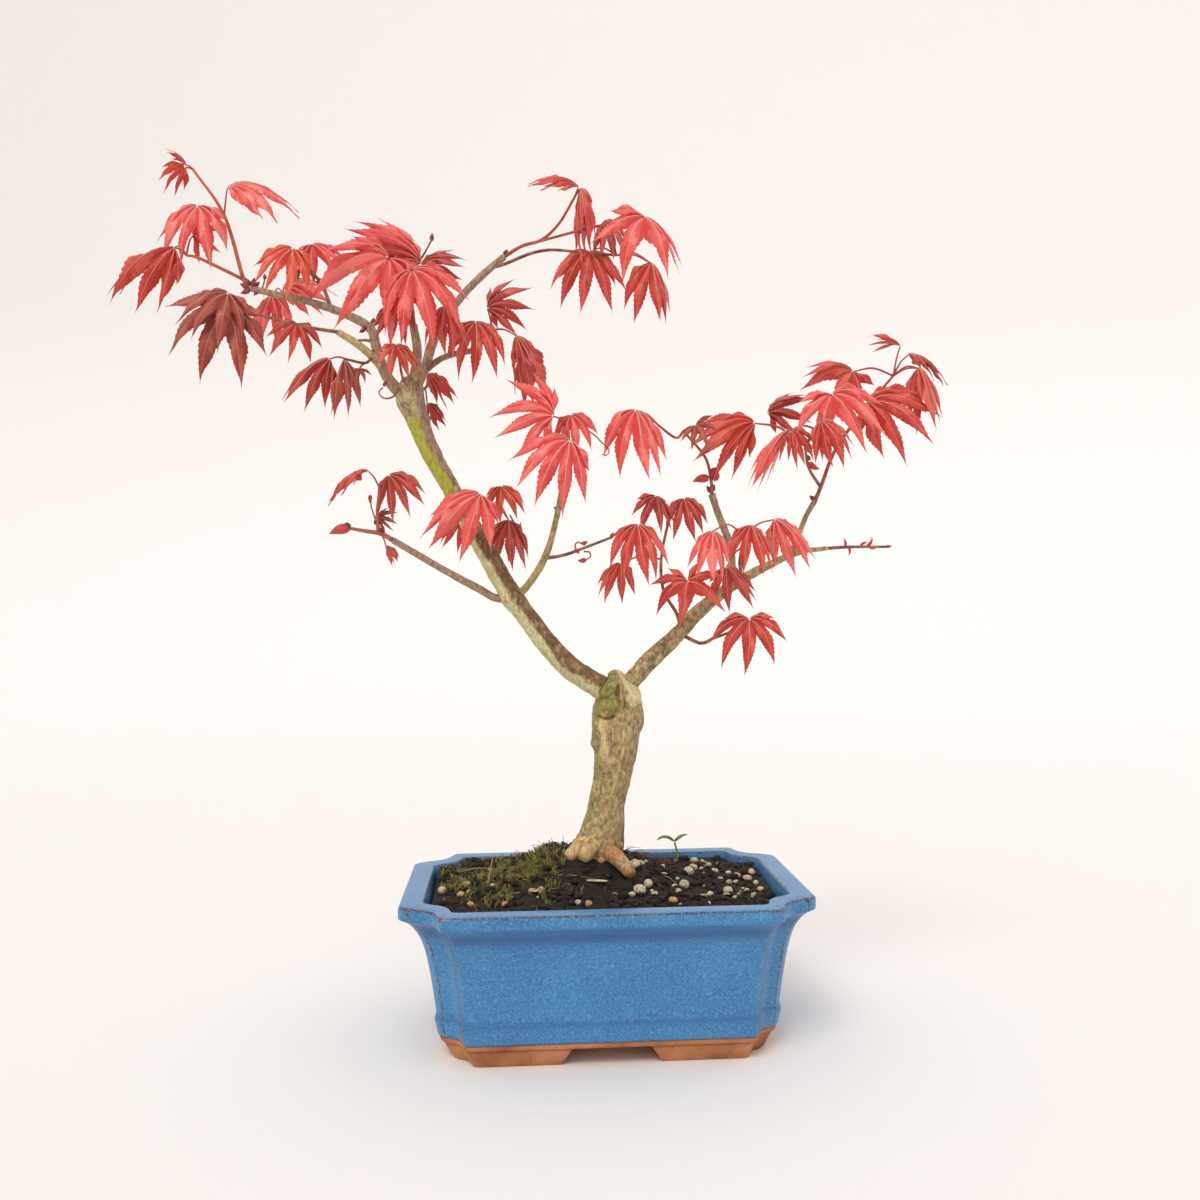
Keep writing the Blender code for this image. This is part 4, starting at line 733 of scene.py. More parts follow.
for count, turns, heights, reaches, tall, rises in (  # knobs and pits on the callus and the warty foot
        (34, (-80, 75), (154, 173), (1.3, 2.4), (1.3, 2.6), (-0.9, 0.7, 1.0)),
        (16, (0, 75), (78, 90), (1.1, 1.8), (1.0, 1.8), (-0.7, 0.9, 1.1))):
    trunkMarks += [(*(draw.uniform(*span) for span in (turns, heights, reaches, tall)), draw.choice(rises))
                   for _ in range(count)]
cleft = {"across": 1.1, "along": 1.2, "rise": -0.62}
clefts = [  # between the lumps of the callus, by turn and height
    ((8, 172), (4, 167), (-3, 164), (-26, 162), (-56, 160.5)),
    ((-2, 164), (2, 158), (-6, 153), (-26, 150.5), (-52, 151.5)), ((24, 168), (16, 162), (18, 156))]
for line in clefts:
    corners = np.arange(len(line))
    for k in np.linspace(0, corners[-1], 6 * len(line)):
        place = (np.interp(k, corners, column) for column in np.transpose(line))
        trunkMarks.append((*place, *cleft.values()))
crack = {"from": (17.0, 153.0), "to": (8.0, 117.0), "wide": 0.5, "deep": 0.55, "bow": 5.0, "radius": 11.0}

points, faces, own, along, turn, lumps = barkSurface(
    [(x, z, trunkDepth, wide) for x, z, wide in trunkLine], 128, barkRelief["step"], 1.5, True, trunkMarks)
worn, fine = layered(own, 9.0, 21), layered(own, 2.6, 22)
height = points[:, 2] + sightLine["eyeInDrawing"]
(topTurn, top), (lowTurn, low) = crack["from"], crack["to"]
share = np.clip((height - low) / (top - low), 0, 1)
bowed = crack["bow"] * np.sin(math.pi * share) + 1.5 * np.sin(7 * share)
split = np.radians(turn - lowTurn - (topTurn - lowTurn) * share - bowed) * crack["radius"] + 0.5 * fine
split = bell(split, 0, crack["wide"]) * smoothStep(112, 118, height) * smoothStep(156, 151, height)
middle = points[:, :2] - np.repeat(points.reshape(-1, 128, 3)[..., :2].mean(axis=1), 128, axis=0)
points[:, :2] -= unit(middle) * (crack["deep"] * split)[:, None]
callus = smoothStep(152, 160, height + 3 * worn)
leftSide, shadedRightSide = smoothStep(10, -60, turn), smoothStep(35, 95, turn)
foot = smoothStep(96, 84, height)
wart = bell(turn, 35, 30) * smoothStep(91, 87, height)
pit = np.minimum(lumps, 0)
streak = bell(turn + 6 * fine, -34, 11) * smoothStep(126, 136, height) * smoothStep(156, 150, height)
surfaces = [(points, faces, {
    "green": 0.3 + 0.16 * leftSide + 0.14 * worn - 0.1 * foot + 0.2 * callus,
    # painted shade: the trunk's right side, away from the light, is painted darker and less pale
    "pale": 0.26 + 0.5 * streak + 0.5 * split + 0.1 * worn - 0.1 * shadedRightSide,
    # painted shade: the pits and the clefts between the callus lumps are painted darker
    "dark": 0.2 + 0.22 * shadedRightSide * (1 - callus) + 0.28 * foot - 0.3 * pit + 0.12 * fine,
    "rosy": 0.12 + 0.3 * foot + 0.1 * fine,
    "grey": 0.2 + 0.42 * callus * smoothStep(5, 35, turn) * smoothStep(156, 160, height) + 0.18 * fine
            + 0.15 * wart,
    "moss": 0.05 + 0.42 * callus * smoothStep(4, -14, turn) - 0.16 * pit * callus + 0.2 * worn * leftSide
            + 0.5 * wart})]
for start, end, wide, narrow, red in roots:
    middle = [(a + b) / 2 + up for a, b, up in zip(start, end, (0, 1.5, 0))]
    stations = [(*start, wide), (*middle, wide * 0.95), (*end, narrow)]
    points, faces, own, along, turn, lumps = barkSurface(stations, 44, 0.7, 1.5, True)
    fine = layered(own, 3.0, 24)
    surfaces.append((points, faces, {
        # painted highlight: the red root is paler on its left side, towards the light
        "green": 0.1, "pale": 0.5 * (1 - red) + 0.34 * red * smoothStep(40, -30, turn) + 0.2 * fine,
        "dark": 0.26 - 0.3 * fine + 0.2 * smoothStep(0.75, 1.0, along), "rosy": 0.36 + 0.14 * red}))
barkPiece("trunkBark", "bark", ["trunk"], surfaces)

boughMarks = {
    "bough_left": [
        (-60, 213.0, 4.0, 4.0, 1.6), (40, 214.0, 4.0, 4.0, 1.2), (-90, 226.0, 3.0, 3.0, 0.7),
        (30, 316.0, 4.0, 5.0, 1.2), (-70, 312.0, 4.0, 5.0, 1.4), (75, 319.0, 3.0, 3.0, 1.2),
        (0, 322.0, 3.0, 2.4, -1.4), (-30, 289.0, 3.0, 3.0, 0.8)],
    "bough_right": [(-20, 214.0, 3.0, 4.0, 1.0), (60, 206.0, 3.0, 3.0, 0.8)]}
points, faces, own, along, turn, lumps = barkSurface(
    limbs["bough_left"], 64, barkRelief["step"], 1.3, True, boughMarks["bough_left"])
worn, fine = layered(own, 8.0, 31), layered(own, 2.4, 32)
upper, knob = smoothStep(0.5, 0.72, along), smoothStep(0.86, 0.93, along)
underside = smoothStep(12, -22, turn + 30 * layered(own * [1, 1, 0.5], 7.0, 33))
greenSide = smoothStep(34, 4, turn + 22 * layered(own * [1, 1, 0.4], 8.0, 34))
barkPiece("leftBoughBark", "bark", ["bough_left"], [(points, faces, {
    "green": 0.3 + 0.12 * worn, "pale": 0.16 + 0.1 * worn,
    "dark": 0.2 + 0.38 * (1 - underside) * (1 - 0.75 * upper) + 0.1 * fine, "rosy": 0.2 + 0.1 * fine,
    "grey": 0.22 + 0.42 * underside * (1 - upper) + 0.06 * upper + 0.15 * worn + 0.15 * knob,
    "plum": 0.6 * upper * (1 - greenSide) + 0.2 * knob, "lime": 0.72 * upper * greenSide * (1 - knob),
    "moss": 0.1 + 0.2 * upper * underside + 0.16 * underside * worn})])

points, faces, own, along, turn, lumps = barkSurface(
    limbs["bough_right"], 44, barkRelief["step"], 1.2, True, boughMarks["bough_right"])
worn, fine = layered(own, 8.0, 41), layered(own, 2.4, 42)
barkPiece("rightBoughBark", "bark", ["bough_right"], [(points, faces, {
    "green": 0.32 + 0.15 * worn, "pale": 0.2 + 0.1 * worn, "dark": 0.4 + 0.12 * layered(own, 6.0, 43),
    "rosy": 0.22, "grey": 0.3 + 0.2 * fine, "moss": 0.1 + 0.15 * worn})])

branchCoats = {  # how green, pale, dark, plum and grey each branch is
    "branch_upper_left": (0.15, 0.2, 0.4, 0.56, 0.3), "branch_left_low": (0.3, 0.45, 0.15, 0.3, 0.25),
    "branch_top": (0.15, 0.35, 0.2, 0.52, 0.36), "branch_upper_right": (0.2, 0.35, 0.25, 0.52, 0.26),
    "branch_inner_right": (0.15, 0.2, 0.55, 0.4, 0.15), "branch_low_left": (0.1, 0.3, 0.2, 0.58, 0.2),
    "branch_centre": (0.42, 0.35, 0.28, 0.25, 0.15), "branch_far_right": (0.25, 0.3, 0.4, 0.42, 0.15),
    "branch_right_up": (0.1, 0.3, 0.3, 0.58, 0.25)}
for n, (name, coats) in enumerate(branchCoats.items()):
    points, faces, own = barkSurface(limbs[name], 22, barkRelief["step"], 1.1)[:3]
    shown = 0.14 * layered(own, 9.0, 51 + n)
    fields = {field: coat + shown for field, coat in zip(("green", "pale", "dark", "plum", "grey"), coats)}
    barkPiece(name.title().replace("_", "").replace("B", "b", 1) + "Bark", "young_bark", [name],
              [(points, faces, fields)])
print("limbs done")


# Foliage: each mass grows one stem with forks from its limb, then leaf stalks, leaves and buds.
# Each mass has the limb it meets, its twig's diameter, its room, its stems and its leaves. A room is the
# boxes, each low and high in x, y and z of the drawing, that it keeps to. A stem is x, z, depth along it. A
# leaf is x, z, depth, length, the directions of its first, middle and last lobe in degrees, how far its
# blade turns edge-on, and its tone.
masses = {
    "mass_far_left": ("branch_upper_left", 2.6, [((-262, -186), (-14, 62), (345, 378)),
        ((-262, -186), (-32, 62), (378, 446)), ((-186, -146), (-29, 62), (401, 446))],
        [[(-180.6, 372.8, 8.2), (-183.5, 377, 9), (-193.5, 410, 12), (-209.6, 433.8, 16)], [(-183.5, 377, 9),
        (-205.7, 387.7, 4), (-213, 389.5, 2)]],
        [(-213.4, 436, 16, 12.5, 158, 146, 138, 1, "red"),
        (-213.6, 434.5, 15, 17.5, -156, -133, -112, -1, "orange"),
        (-191.8, 424, 10, 40, 2, -24, -52, 0.8, "coral"), (-207, 414.7, 4, 35, -160, -108, -28, 0, "coral"),
        (-219, 393.5, 0, 42, -152, -138, -90, 0, "red"), (-209.6, 399.5, 16, 19, 60, 10, -80, 0, "coral")]),
    "mass_left_low": ("branch_left_low", 1.9, [((-236, -181.2), (-62, -15), (316, 378)),
        ((-186, -160), (-62, -3), (316, 362.5)), ((-180, -136), (-16.5, -3), (330, 362.5)),
        ((-180, -136), (-30, -3), (346, 362.5))],
        [[(-135.4, 350.3, -14), (-148, 352, -18), (-165, 356, -24), (-177.4, 359.2, -30)]],
        [(-192.1, 361.5, -36, 40, -211, -113, -15, 0, "brick"),
        (-191.3, 369.6, -42, 30, -178, -134, -40, 0, "brick"),
        (-155.9, 354, -14, 22, -185, -98, -20, 0, "red")]),
    "mass_left_back": ("branch_upper_left", 1.8, [((-185, -130), (6, 52), (330, 382))],
        [[(-160, 368.2, 3), (-161, 370, 9), (-163, 370, 15)]],
        [(-169, 368.4, 16, 28, -138, -102, -40, 0, "coral"),
        (-163, 373, 20, 29, 20, -22, -60, 0.5, "coral")]),
    "mass_left_top": ("branch_upper_left", 2.2, [((-181, -126), (-30, 5.5), (363, 400))],
        [[(-138.5, 362, -2), (-143, 374, -4), (-148.5, 381, -6), (-153.2, 386.5, -8)]],
        [(-158.1, 392.7, -14, 30, -172, -120, -45, 0, "orange"),
        (-148.3, 394.8, -4.0, 22, -150, -52, -10, 0, "coral")]),
    "mass_crown": ("branch_top", 2.8, [((-150, -81), (-92, -31), (346, 415)),
        ((-125, -81), (-92, -18), (346, 415)), ((-150, -48), (-92, -41), (333, 415))],
        [[(-96.3, 354.4, -22.2), (-97, 363, -27), (-98, 372, -36), (-98.5, 379, -44)]],
        [(-108.7, 387.5, -56, 44, -215, -123, -30, 0, "rose"),
        (-96.8, 381.8, -62, 40, -140, -72, -8, 0, "rose"), (-92.4, 385.6, -46, 37, 118, 161, 200, 0, "rose"),
        (-92, 384, -46, 23, 40, -8, -60, 0, "crimson"), (-80, 363, -47, 27, -135, -92, -50, 0, "red"),
        (-103.5, 366, -47, 24, -150, -100, -50, 0, "crimson")]),
    "mass_knob_left": ("branch_left_low", 1.6, [((-160, -116), (-40.5, -17), (295, 345)),
        ((-165, -160), (-40.5, -17), (295, 316))],
        [[(-117.5, 337, -14.5), (-121, 334, -19), (-130, 335.8, -23)]],
        [(-139.1, 336.2, -28, 31, -152, -131, -88, 0, "crimson"),
        (-131.8, 335.6, -24, 30, -112, -96, -62, 0, "brick"),
        (-124, 331, -20, 9, -150, -100, -30, 0, "brick")]),
    "mass_knob_front": ("bough_left", 1.6, [((-115.5, -81.2), (-40, -17), (300, 345))],
        [[(-97, 321, -18), (-101.5, 326, -22), (-103.5, 337, -25)]],
        [(-104.9, 343.5, -26, 20, -160, -70, -30, 0, "orange")]),
    "mass_knob_right": ("bough_left", 1.6, [((-95, -60), (-5.5, 22), (292, 332))],
        [[(-93.2, 317, -8), (-90, 321, -3), (-89, 324, 2)]],
        [(-88.4, 328.4, 5, 22, -85, -51, -30, 0.6, "red"), (-89, 313, 4, 16, -85, -54, -35, 0.6, "crimson")]),
    "mass_inner_right": ("branch_inner_right", 2.0, [((-81, -20), (-40, -6), (308, 382))],
        [[(-65.6, 340.4, -17.2), (-60, 345, -21), (-55.4, 351.2, -23)]],
        [(-58, 361.9, -24, 25, 78, -8, -60, 0, "crimson"), (-63.6, 355.1, -31, 31, -152, -88, -35, 0, "red"),
        (-43, 348, -26, 38, -100, -74, -52, 0.5, "crimson")]),
    "mass_top_right_upper": ("branch_upper_right", 2.0, [((-45, 52), (-52, 6), (383, 432)),
        ((-10, 52), (-52, 6), (368, 383))],
        [[(-49, 389.6, 7.5), (-40, 394.3, 3), (-30, 397.5, -2), (-21, 406, -6), (-13, 419.5, -12)],
        [(-40, 394.3, 3), (-14.4, 401.2, -12), (4, 405.8, -22)]],
        [(-11.1, 424.2, -14, 26, 165, 178, 196, 0.6, "red"),
        (-9.5, 423.9, -15, 39, -100, -86, -70, 0.7, "red"),
        (22.8, 409.1, -34, 35, -190, -68, -40, 0, "coral")]),
    "mass_top_right_lower": ("branch_upper_right", 2.0, [((-42, 50), (8, 62), (349, 416))],
        [[(-56, 383, 8), (-49, 385, 14.5), (-36, 390.3, 15.5), (-26, 392.2, 17), (-14, 391.5, 20),
        (8.4, 389.5, 24)]],
        [(-5.5, 391.3, 24, 36, -160, -95, -28, 0, "red"), (3.7, 407.8, 24, 25, -125, -82, -35, 0, "crimson"),
        (26.4, 385.3, 28, 36, -142, -84, -58, 0, "red")]),
    "mass_centre": ("branch_centre", 2.3, [((-50, -0.9), (-78, -22.5), (253, 308)),
        ((-62, -10), (-78, -41), (276, 332))],
        [[(-19.1, 272.5, -25.2), (-18.4, 281, -29), (-17.5, 291, -33), (-16.5, 300, -36)]],
        [(-23.9, 306.6, -47, 31, 88, 178, 250, 0, "coral"),
        (-15.6, 294.1, -52, 38, -178, -118, -60, 0, "coral"),
        (-15, 307.2, -38, 22, -140, -80, -15, 0, "rose")]),
    "mass_centre_right": ("branch_centre", 1.9, [((-28, -6.5), (-56, -9), (212, 252.5)),
        ((-6.5, 35.5), (-56, -25.7), (212, 252.5))],
        [[(-27.3, 231.8, -11), (-19, 235, -14), (-9, 238.5, -17), (6, 244.3, -22)]],
        [(19.3, 250.7, -30, 32, -145, -84, -38, 0, "red")]),
    "mass_bough_front": ("bough_left", 1.7, [((-96, -50.5), (-52, -18.5), (226, 276))],
        [[(-68.5, 258, -12), (-66, 261, -16), (-64, 263.5, -21)]],
        [(-61.7, 266.3, -25, 38, -168, -129, -58, 0, "coral")]),
    "mass_bough_back": ("bough_left", 1.7, [((-83.8, -22), (2, 56), (212, 282))],
        [[(-64, 252.5, 0), (-60, 258, 8), (-56, 262, 13)]],
        [(-50.8, 270.3, 16, 21, -150, -62, -22, 0, "orange"),
        (-46.9, 252.9, 20, 28, -142, -87, -48, 0, "crimson"),
        (-70.6, 254.4, 16, 20, -150, -118, -60, 0, "red")]),
    "mass_mid_right": ("branch_right_up", 1.9, [((-0.8, 42), (-46, 12), (268, 320)),
        ((42, 66), (-46, -5), (268, 320))],
        [[(57.4, 267, 12.8), (57.2, 273.5, 10), (54.1, 285.5, 4), (43, 299, -4)], [(43, 299, -4),
        (39, 295.5, -8), (30, 302, -14)]],
        [(18.6, 309.6, -20, 38, -150, -84, -46, 0, "coral"),
        (49.3, 301.6, -8, 14, -130, -60, 30, 0, "brick")]),
    "mass_far_right": ("branch_far_right", 2.4, [((66, 192), (-46, 66), (262, 348)),
        ((42, 66), (-4, 66), (268, 348))],
        [[(110.7, 263.5, 24.1), (113.6, 270, 24), (121, 289, 23), (133, 306, 22), (151, 327.5, 24)],
        [(113.6, 270, 24), (107.5, 280, 18), (105.5, 291, 12)], [(105.5, 291, 12), (111, 300, 2),
        (114, 310, -8)]],
        [(79.6, 303, 8, 39, -190, -143, -98, 0, "red"), (97.9, 299.6, -5, 38, -136, -123, -106, 0, "coral"),
        (98.5, 299.4, -8, 21.5, -100, -74, -12, 0, "red"), (119.3, 317.6, -20, 36, -168, -62, 6, 0, "coral"),
        (113.8, 304.1, -26, 26, -110, -64, -20, 0, "red"), (130.1, 329.5, 18, 31, -196, -160, -36, 0, "red"),
        (86.5, 308, 30, 26, 48, 14, -66, 0, "crimson"), (138, 313.8, 10, 41, 22, -33, -100, 0, "red"),
        (154.6, 342.5, 26, 19, 158, 170, 188, 0, "red"),
        (158.8, 338.3, 26, 26, -28, -40, -56, 0.7, "crimson"),
        (164, 331.4, 16, 35, -108, -82, -50, 0, "red")]),
    "mass_right_tip": ("bough_right", 1.9, [((114, 152), (10, 34), (226, 250))],
        [[(117.4, 238.7, 20), (126, 239.2, 20.5), (137, 239.4, 21), (147.2, 239.4, 21.5)]],
        []),
    "mass_right_inner": ("bough_right", 2.1, [((-6, 50), (-22, 5), (190, 267.5)),
        ((50, 60.5), (-22, 5), (232, 267.5)), ((20, 66), (-25.6, -17.5), (203.3, 232))],
        [[(40.5, 198.5, 6), (39.4, 205.2, 3), (35.1, 212, 0), (32, 220, -3), (31.5, 233, -6), (34, 247, -8),
        (37, 257, -10)]],
        [(28.8, 265.3, -14, 21, -168, -82, -42, 0, "crimson"),
        (43.1, 264.1, -12, 23, -140, -80, -25, 0, "crimson"),
        (10.6, 230.9, -8, 23, -145, -113, -48, 0, "red"), (45, 221.4, -20, 26, -212, -96, 58, 0, "red")]),
    "mass_right_front": ("bough_right", 2.0, [((61, 130), (-52, 9.5), (232, 262)),
        ((66.5, 130), (-52, 9.5), (203.5, 232)), ((36, 61), (-52, -26.5), (204, 262)),
        ((50, 66.5), (-17, 9.5), (203.5, 232)), ((61, 66.5), (-52, -26.5), (203.5, 232))],
        [[(72.5, 224.5, 12), (72, 231, 7), (73, 239, 1), (74, 245, -4)]],
        [(58.1, 247.5, -36, 27, -135, -93, -50, 0, "coral"),
        (77.5, 250.3, -12, 27, -140, -76, -45, 0, "red"), (89.7, 253.4, -6, 31, -100, -56, -28, 0, "coral"),
        (65.2, 228.9, -8, 25, -135, -62, -32, 0, "crimson")]),
    "mass_right_low": ("bough_right", 2.2, [((56, 116), (-34, 30), (166, 203.3))],
        [[(42, 194, 10), (51.6, 189.8, 6), (58.4, 192.3, 2), (66, 195, -2)]],
        [(76.7, 202, -6, 30, -180, -90, 0, 0, "red")]),
    "mass_low_left": ("branch_low_left", 2.9, [((-156, -96), (-48, 20), (225, 286)),
        ((-96, -84), (-18, 20), (225, 286))],
        [[(-107, 243, -11), (-113, 246.2, -12), (-121, 247.5, -13), (-129, 249, -14)], [(-114, 246.5, -12),
        (-114.7, 256, -14), (-113.6, 270, -16)]],
        [(-119.3, 278.2, -20, 27, -158, -140, -126, 1, "red"),
        (-108.8, 275.9, -12, 26, -125, -60, -6, 0, "crimson"),
        (-115, 253.5, -6, 12, 45, -15, -60, 0, "brick"), (-110.2, 240, -6, 12, -85, -64, -45, 0.5, "red")]),
}

leafForm = {
    "lobes": (0.46, 0.78, 0.95, 1.0, 0.95, 0.78, 0.46),  # each over the middle one's length
    "fullSpread": 98.0, "cup": 0.6, "cupEven": 0.45, "smallLeaf": 20.0, "edgeNotch": 0.7, "beyond": 0.6,
    "sinus": 0.3, "halfWidth": 0.09, "arch": 0.14, "outward": 0.7, "forward": 0.3, "fold": 0.08,
    "wave": 0.016, "waves": 15.0, "tilt": 0.8, "uneven": 0.05, "tipBend": 0.1, "toothDepth": (0.04, 0.16),
    "toothReach": 0.6, "thick": 0.3, "innerRows": 5, "outerRows": 20, "rib": 0.5, "stalk": 1.0,
    "stalkRise": 0.12, "across": (-1, -0.64, -0.3, 0, 0.3, 0.64, 1), "veinStep": 4.4, "veinRise": 0.16,
    "shadeStep": 6.5, "shadeSteps": (-0.2, 0.12), "lobeShades": 0.16,
}
backLeaf = {"share": 0.7, "from": 27.0, "scale": 0.86, "depth": (16.0, 26.0)}


def lobeDirections(leaf, shares):
    # On a leaf seen face-on the lobes lie in the elevation. The narrower its fan looks, the more the outer
    # lobes swing away in depth, so that neighbours keep about their real angle.
    first, aim, last, turn = leaf[4:8]
    shares = np.asarray(shares, float)
    edge = np.where(shares < 0, first, last)
    angle = np.radians(aim + (edge - aim) * np.abs(shares))
    bow = leafForm["cup"] * np.maximum(0.0, leafForm["fullSpread"] - np.abs(edge - aim))
    toward = np.radians((1 - abs(turn)) * bow * (leafForm["cupEven"] - np.abs(shares)) + turn * bow * shares)
    flat = np.cos(toward)
    return np.stack([np.cos(angle) * flat, -np.sin(toward), np.sin(angle) * flat], axis=-1)


def lobeOutline(x):  # half width over its widest: swelling past the notch, then drawn out to the tip
    return (1 - x) ** 1.8 * (1 + 3.8 * x)


def leafSurface(leaf, base, draw):
    # Each lobe is a strip s along its rib and t across it. Inside the notches it spans from its rib to the
    # lines of the notches it shares; outside them it has its own outline with teeth. Its rib bulges up and
    # outward by sin(pi s^0.7), so that the blade domes over and its tips hang. The blade sinks between the
    # ribs, each free lobe swells beside its rib and turns down at the margin, and side veins ripple it.
    form, sinus, inner, outer = leafForm, leafForm["sinus"], leafForm["innerRows"], leafForm["outerRows"]
    lobes = np.array(form["lobes"] if leaf[3] >= form["smallLeaf"] else form["lobes"][1:-1])
    count = len(lobes)
    shares = np.linspace(-1, 1, count)
    ahead = lobeDirections(leaf, shares)
    aim = lobeDirections(leaf, [0.0])[0]
    length = leaf[3] / math.cos(math.asin(abs(aim[1])))
    beyond = form["beyond"] / (count - 1)
    midShares = np.concatenate([[-1 - beyond], (shares[1:] + shares[:-1]) / 2, [1 + beyond]])
    edges = lobes[[0, -1]] * form["edgeNotch"]
    midLobes = np.concatenate([edges[:1], (lobes[1:] + lobes[:-1]) / 2, edges[1:]])
    notches = lobeDirections(leaf, midShares) * (midLobes * sinus * length)[:, None]
    low, high = notches[:-1], notches[1:]
    facing = unit(np.cross(low, high).sum(axis=0))
    if facing @ np.array([0, -0.6, 0.8]) < 0:
        facing = -facing
    uneven, bent, phase, tipped = np.array([[draw.uniform(-1, 1) for _ in range(4)] for _ in range(count)]).T
    own = lobes * length * (1 + form["uneven"] * uneven)
    across = unit(high - low - ahead * ((high - low) * ahead).sum(-1, keepdims=True))

    # rows along each lobe, its rib's line, and the teeth cut into every second row of its free margin
    s = np.concatenate([np.linspace(0.02, sinus, inner + 1),
                        sinus + (0.998 - sinus) * np.arange(1, outer + 1) / outer])
    t = np.array(form["across"], float)
    x = np.clip((s - sinus) / (1 - sinus), 0, 1)
    settle = smoothStep(0, 0.3, x)
    centre = ahead[:, None] * (s * own[:, None])[..., None]  # lobe, row, xyz
    centre = centre + across[:, None] * ((form["tipBend"] * bent * own)[:, None] * x**2)[..., None]
    rows = np.arange(len(s))
    margin = np.abs(t) > 0.99
    depths = form["toothDepth"]
    cuts = np.array([[[draw.uniform(*depths)] * 3 + [0, 0, 0] + [draw.uniform(*depths)] for _ in rows]
                     for _ in range(count)])
    notched = ((rows > inner) & ((rows - inner) % 2 == 0))[None, :, None] & margin
    tooth = np.where(notched, 1 - cuts, 1.0)[..., None]

    # both sides of each strip, from the shared notches inside to the free outline outside
    widest = (form["halfWidth"] * length * (0.5 + 0.5 * lobes))[:, None, None]
    blend, inside = settle[None, :, None], (s <= sinus)[None, :, None]
    sides = []
    for notch, way in ((low, -1), (high, 1)):
        free = (notch[:, None] - ahead[:, None] * (own * sinus)[:, None, None]) * (1 - blend)
        free = (free + way * across[:, None] * widest * blend) * lobeOutline(x)[None, :, None]
        shared = notch[:, None] * np.minimum(s / sinus, 1)[None, :, None] - centre
        sides.append(np.where(inside, shared, free)[:, :, None])
    over, leftward = np.abs(t)[None, None, :, None], t[None, None, :, None] < 0
    offsets = np.where(leftward, *sides) * over * tooth
    pointed = np.where(margin, form["toothReach"] / outer, 0.0)[None, None, :, None] * (tooth == 1)
    offsets = offsets + pointed * (settle * (1 - x))[None, :, None, None] * ahead[:, None, None] * length

    # the dome of the blade: each rib's bulge, shared with its neighbours near the stalk
    outward = ahead - aim * (ahead @ aim)[:, None]
    outward = outward - ahead * (outward * ahead).sum(-1, keepdims=True)
    rise = np.array([0, 0, 1.0]) - ahead * ahead[:, 2:3]
    rise = rise + form["outward"] * outward + form["forward"] * facing
    lift = rise[:, None] * (form["arch"] * own[:, None] * np.sin(math.pi * s**0.7))[..., None]
    before, after = np.vstack([lift[:1], lift[:-1]]), np.vstack([lift[1:], lift[-1:]])
    seam = np.where(leftward, (lift + before)[:, :, None], (lift + after)[:, :, None]) / 2
    shared = over * (1 - settle)[None, :, None, None]
    points = centre[:, :, None] + offsets + lift[:, :, None] * (1 - shared) + seam * shared

    # the folds, waves, tilt and side veins that stand out of it
    swell = np.sin(math.pi / 2 * np.minimum(s / sinus, 1))[:, None] * np.abs(t)
    crest = (1 - x)[:, None] * (1.3 * np.abs(t) - 1.9 * t**2)
    fold = form["fold"] * length * (crest * settle[:, None] - 0.45 * swell * (1 - settle)[:, None])
    ripple = form["wave"] * length * np.sin(s[None] * form["waves"] + 3 * phase[:, None]) * settle
    tilt = form["tilt"] * tipped[:, None] * (widest[:, :, 0] * lobeOutline(x)[None]) * settle
    veins = np.sin(2 * math.pi * (s[:, None] * length / form["veinStep"] - 0.9 * np.abs(t)))
    veins = form["veinRise"] * veins * 4 * np.abs(t) * (1 - np.abs(t)) * (1 - x)[:, None]
    height = fold[None] + veins[None] + ripple[..., None] * np.abs(t) + tilt[..., None] * t
    points = points + height[..., None] * facing
    skin = form["thick"] / 2 * np.sqrt(np.clip(1 - t**2, 0, 1)) * (1 - 0.6 * x)[:, None]
    return base + points, skin[..., None] * facing, base + centre + lift, s, x, length


